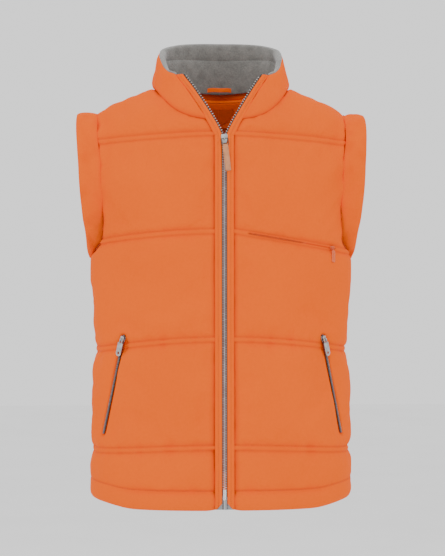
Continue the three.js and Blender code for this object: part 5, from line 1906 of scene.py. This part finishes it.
@dataclass
class HandPocket:
    """A hand pocket's coil zip, with its slider and its ring pull."""

    form: VestForm
    side: Side
    wardrobe: Wardrobe
    top: tuple[float, float] = (0.160, 0.272)
    foot: tuple[float, float] = (0.192, 0.119)
    chain_z: float = -0.0015
    pull_length: float = 0.022
    ring: float = 0.0054
    eye: float = 0.0022

    def frame(self) -> tuple[Matrix, float]:
        """The slot's frame, X down along the zip and Z out, and the slot's length."""
        form = self.form
        ends = [form.point(Face.FRONT, np.array(x), np.array(h)) for x, h in (self.top, self.foot)]
        along = ends[1] - ends[0]
        length = float(np.linalg.norm(along))
        along = along / length
        x, h = (self.top[0] + self.foot[0]) / 2, (self.top[1] + self.foot[1]) / 2
        step = 0.001
        dx = form.point(Face.FRONT, np.array(x + step), np.array(h)) - form.point(Face.FRONT,
            np.array(x - step), np.array(h))
        dh = form.point(Face.FRONT, np.array(x), np.array(h + step)) - form.point(Face.FRONT, np.array(x),
            np.array(h - step))
        out = np.cross(dx, dh)
        out = unit(out - along * np.dot(out, along))
        return basis(along, np.cross(out, along), out, ends[0]), length

    def build(self) -> list[bpy.types.Object]:
        """Make the tape, the coil, the slider and the pull."""
        seat, length = self.frame()
        word = self.side.word
        x = np.linspace(-0.003, length + 0.003, 60)
        line = np.stack([x, 0 * x, 0 * x + self.chain_z], axis=-1)
        up = np.tile([0.0, 0.0, 1.0], (len(x), 1))
        coil = coil_object("coil", line, up, 0.0004, 0.00062, 0.0013)
        tape = band_object(f"{word}_pocket_tape", line, up, 0.0021, 0.0010, 0.0006)
        place(coil, seat, self.side)
        place(tape, seat, self.side)
        coil.name = f"{word}_pocket_zip"
        self.wardrobe.dress(coil, "coil", "zip_grey")
        self.wardrobe.dress(tape, "tape", "zip_grey")
        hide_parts(f"{word}_pocket_coil")
        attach(coil, "root")
        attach(tape, "root")
        shape = SliderShape(0.010, 0.0038, 0.0008, 0.0018, self.chain_z, 0.0014)
        turned = seat @ Matrix.Translation((0.004, 0, 0)) @ Matrix.Rotation(math.pi / 2, 4, "Z")
        slider = place(shape.build(f"{word}_pocket_runner"), turned, self.side)
        self.wardrobe.dress(slider, "steel", "slider_steel")
        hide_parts(f"{word}_pocket_slider")
        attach(slider, f"{word}_pocket_slider")
        pull = place(self._pull(f"{word}_pocket_ring_pull"),
                     turned @ Matrix.Translation((0, 0, shape.pin_z)), self.side)
        self.wardrobe.dress(pull, "steel", "slider_steel")
        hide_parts(f"{word}_pocket_pull")
        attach(pull, f"{word}_pocket_pull")
        return [coil, tape, slider, pull]

    def _pull(self, name: str) -> bpy.types.Object:
        """A stirrup with a round tongue that has a hole near its end."""
        bar = bar_x("bar", 0.0007, 0.0032)
        arms = [box("arm", (s * 0.0026, -0.004, 0), (0.0012, 0.0082, 0.0014), 0.0003) for s in (-1, 1)]
        ring_y = -0.006 - self.pull_length + self.ring
        outer = tongue(self.ring, self.pull_length, self.ring - 0.0001, 10)
        outer = np.array([(x, y - 0.006) for x, y in outer])
        angle = np.arctan2(outer[:, 1] - ring_y, outer[:, 0])
        hole = np.stack([self.eye * np.cos(angle), ring_y + self.eye * np.sin(angle)], axis=-1)
        half = 0.0007
        rings = []
        for ring, z in ((outer, -half), (outer, half), (hole, half), (hole, -half)):
            rings.append(np.column_stack([ring, np.full(len(ring), z)]))
        tag = ring_object("tag", np.array(rings), closed=True)
        rounded(tag, 0.00025)
        return joined(name, [bar, *arms, tag])


@dataclass
class ChestPocket:
    """The chest pocket's orange coil, its slider and its moulded puller."""

    form: VestForm
    quilting: Quilting
    wardrobe: Wardrobe
    outer_x: float = 0.182
    chain_z: float = -0.0016
    pull: tuple[float, float] = (0.020, 0.007)
    lift: float = math.radians(14)
    back_off: float = math.radians(2.4)

    def arc(self) -> tuple[Matrix, float, float, float]:
        """The arc that the zip follows: its frame, its radius and its two angles."""
        q, form = self.quilting, self.form
        slant = math.hypot(1, q.chest_slope)

        def flat(x: float) -> tuple[float, float]:
            h = q.chest_h - (x - q.chest_x) * q.chest_slope
            return (x - q.chest_x) * slant, float(form.depth(Face.FRONT, np.array(x), np.array(h)))

        a, b, c = (flat(x) for x in (q.chest_x, (q.chest_x + self.outer_x) / 2, self.outer_x))
        d = 2 * (a[0] * (b[1] - c[1]) + b[0] * (c[1] - a[1]) + c[0] * (a[1] - b[1]))
        squares = [p[0] ** 2 + p[1] ** 2 for p in (a, b, c)]
        cx = (squares[0] * (b[1] - c[1]) + squares[1] * (c[1] - a[1]) + squares[2] * (a[1] - b[1])) / d
        cy = (squares[0] * (c[0] - b[0]) + squares[1] * (a[0] - c[0]) + squares[2] * (b[0] - a[0])) / d
        run = np.array([1.0, 0.0, -q.chest_slope]) / slant
        axis = np.cross(run, np.array([0.0, 1.0, 0.0]))
        centre = np.array([q.chest_x, 0.0, q.chest_h - form.length]) + run * cx + np.array([0.0, cy, 0.0])
        angles = [math.atan2(p[0] - cx, -(p[1] - cy)) for p in (a, c)]
        return basis(run, np.array([0.0, 1.0, 0.0]), axis, centre), math.hypot(a[0] - cx, a[1] - cy), *angles

    def build(self) -> list[bpy.types.Object]:
        """Make the coil, the slider and the puller."""
        frame_matrix, radius, start, end = self.arc()
        angle = np.linspace(start, end, 90)
        local = np.stack([np.sin(angle), -np.cos(angle), 0 * angle], axis=-1)
        turn = np.array(frame_matrix.to_3x3())
        origin = np.array(frame_matrix.translation)
        out = local @ turn.T
        line = (local * (radius + self.chain_z)) @ turn.T + origin
        coil = coil_object("chest_zip", line, out, 0.0003, 0.00055, 0.0012)
        self.wardrobe.dress(coil, "enamel", "orange_enamel")
        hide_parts("chest_coil_inner", "chest_coil_outer")
        bend_with_front(coil)
        tape = band_object("chest_zip_tape", line, out, 0.0016, 0.0006, 0.0005)
        # Painted shade: the chest zip's tape is shell cloth darkened evenly, for the slit it lies in.
        shade_and_mottle_attribute(tape, np.full(len(tape.data.vertices), 0.4))
        self.wardrobe.dress(tape, "shell", "shell_fabric")
        bend_with_front(tape)
        at = end - self.back_off
        outward = np.array([math.sin(at), -math.cos(at), 0.0])
        along = np.array([math.cos(at), math.sin(at), 0.0])
        seat = frame_matrix @ basis(np.cross(along, outward), along, outward, outward * radius)
        shape = SliderShape(0.009, 0.0036, 0.0008, 0.0016, self.chain_z, 0.002, along=True)
        slider = place(shape.build("chest_runner"), seat)
        self.wardrobe.dress(slider, "enamel", "orange_enamel")
        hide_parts("chest_slider")
        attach(slider, "chest_slider")
        hang = seat @ Matrix.Translation((0, 0, shape.roof_z)) @ Matrix.Rotation(-self.lift, 4, "Y")
        puller = place(self._puller(), hang)
        self.wardrobe.dress(puller, "enamel", "orange_enamel")
        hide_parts("chest_pull")
        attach(puller, "chest_pull")
        return [coil, tape, slider, puller]

    def _puller(self) -> bpy.types.Object:
        """A loop round the bail, a short stem and a ribbed tongue."""
        long, wide = self.pull
        radius = 0.0004 * math.sqrt(2) + 0.00075 + 0.00045
        turn = np.linspace(0, 2 * math.pi, 16, endpoint=False)
        loop = tube("loop", np.stack([radius * np.cos(turn), 0 * turn, radius * np.sin(turn)], -1), 0.00045,
                    10, closed=True)
        stem = box("stem", (radius + 0.0016, 0, 0), (0.0026, 0.0022, 0.0018), 0.0005)
        outline = [(-y + radius + 0.0024, x) for x, y in tongue(wide / 2, long - 0.001, 0.0024)]
        tag = plate("tag", outline, -0.0010, 0.0010, 0.0004)
        ribs = [box("rib", (radius + 0.006 + 0.0026 * i, 0, 0), (0.0010, wide * 0.7, 0.0026), 0.0003)
                for i in range(5)]
        return joined("chest_puller", [loop, stem, tag, *ribs])


@dataclass
class HangerLoop:
    """The strip of shell cloth that the vest hangs from."""

    collar: Collar
    wardrobe: Wardrobe
    half: float = 0.020
    bow: float = 0.009
    strip: float = 0.007

    def build(self) -> list[bpy.types.Object]:
        """Make the loop as a folded strip."""
        s = (len(self.collar.base) - 1) / 2
        rim_y = float(self.collar.point(np.array([s]), np.array([0.12]))[0][1]) - 0.019
        t = np.linspace(0, 1, 41)
        x = lerp(-self.half, self.half, t)
        y = rim_y - np.sin(t * math.pi) * self.bow + 0.0006
        rings = []
        for phi in np.linspace(0, 2 * math.pi, 14, endpoint=False):
            sy, sz = math.cos(phi), math.sin(phi)
            z = math.copysign(abs(sz) ** 0.5, sz) * self.strip / 2 + 0.0004 * np.sin(t * 9)
            rings.append(np.stack([x, y + math.copysign(abs(sy) ** 0.7, sy) * 0.0006, z], axis=-1))
        loop = ring_object("hanger_strip", np.stack(rings, axis=1))
        shade_and_mottle_attribute(loop, np.zeros(len(loop.data.vertices)))
        self.wardrobe.dress(loop, "shell", "shell_fabric")
        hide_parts("hanger_loop")
        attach(loop, "hanger_loop")
        return [loop]


# ---------------------------------------------------------------- studio


@dataclass
class Studio:
    """A pale room with soft lights, and the camera."""

    distance: float = 2.6
    azimuth: float = math.radians(-2.7)
    height: float = -0.315
    frame_height: float = 0.917
    floor_drop: float = 1.25
    aim_x: float = 0.003

    def build(self) -> None:
        """Set up the floor, the world, the lights and the camera."""
        scene = bpy.context.scene
        world = bpy.data.worlds.new("pale_room")
        world.use_nodes = True
        world.node_tree.nodes["Background"].inputs["Color"].default_value = (1.0, 1.0, 1.0, 1.0)
        world.node_tree.nodes["Background"].inputs["Strength"].default_value = 1.25
        scene.world = world
        floor = new_object("floor", [(-9, -9, -self.floor_drop), (9, -9, -self.floor_drop),
                                     (9, 9, -self.floor_drop),
                                     (-9, 9, -self.floor_drop)], [(0, 1, 2, 3)])
        book = NodeBook("pale_floor")
        book.colour(book.ramp(book.noise(3.0), [(0.3, (0.92, 0.92, 0.92)), (0.7, (0.95, 0.95, 0.95))]))
        book.set(Roughness=0.8)
        floor.data.materials.append(book.material)
        self._light("key", (-1.3, -2.2, 1.5), 12.0, 1.2)
        self._light("fill", (1.8, -1.9, 0.5), 4.0, 2.0)
        self._light("top", (0.2, 0.3, 2.0), 5.0, 1.6)
        self._light("rear", (0.4, 2.4, 0.8), 5.0, 2.0)
        data = bpy.data.cameras.new("camera")
        data.lens = 36.0 * self.distance / self.frame_height
        data.clip_end = 30.0
        camera = bpy.data.objects.new("camera", data)
        scene.collection.objects.link(camera)
        camera.location = (self.aim_x + self.distance * math.sin(self.azimuth),
                           -self.distance * math.cos(self.azimuth), self.height)
        camera.rotation_euler = (math.pi / 2, 0, self.azimuth)
        scene.camera = camera

    def _light(self, name: str, at: tuple[float, float, float], power: float, size: float) -> None:
        """A square soft light that faces the vest."""
        data = bpy.data.lights.new(name, "AREA")
        data.energy = power
        data.size = size
        light = bpy.data.objects.new(name, data)
        light.location = at
        light.rotation_euler = (Vector((0, 0, -0.35)) - Vector(at)).to_track_quat("-Z", "Y").to_euler()
        bpy.context.scene.collection.objects.link(light)


def main() -> None:
    """Build every piece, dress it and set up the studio."""
    logging.basicConfig(level=logging.INFO, format="%(name)s: %(message)s")
    form = VestForm()
    quilting = Quilting()
    wardrobe = Wardrobe(Finishes())
    collar = Collar(form, wardrobe)
    builders = [
        QuiltedFront(form, quilting, Side.LEFT, wardrobe),
        QuiltedFront(form, quilting, Side.RIGHT, wardrobe),
        QuiltedBack(form, quilting, wardrobe),
        ArmBand(form, Side.LEFT, wardrobe),
        ArmBand(form, Side.RIGHT, wardrobe),
        collar,
        MainZip(form, wardrobe),
        HandPocket(form, Side.LEFT, wardrobe),
        HandPocket(form, Side.RIGHT, wardrobe),
        ChestPocket(form, quilting, wardrobe),
        HangerLoop(collar, wardrobe),
    ]
    for builder in builders:
        made = builder.build()
        for obj in made if isinstance(made, list) else [made]:
            log.info("%s: %d faces", obj.name, len(obj.data.polygons))
    Studio().build()


if __name__ == "__main__":
    main()
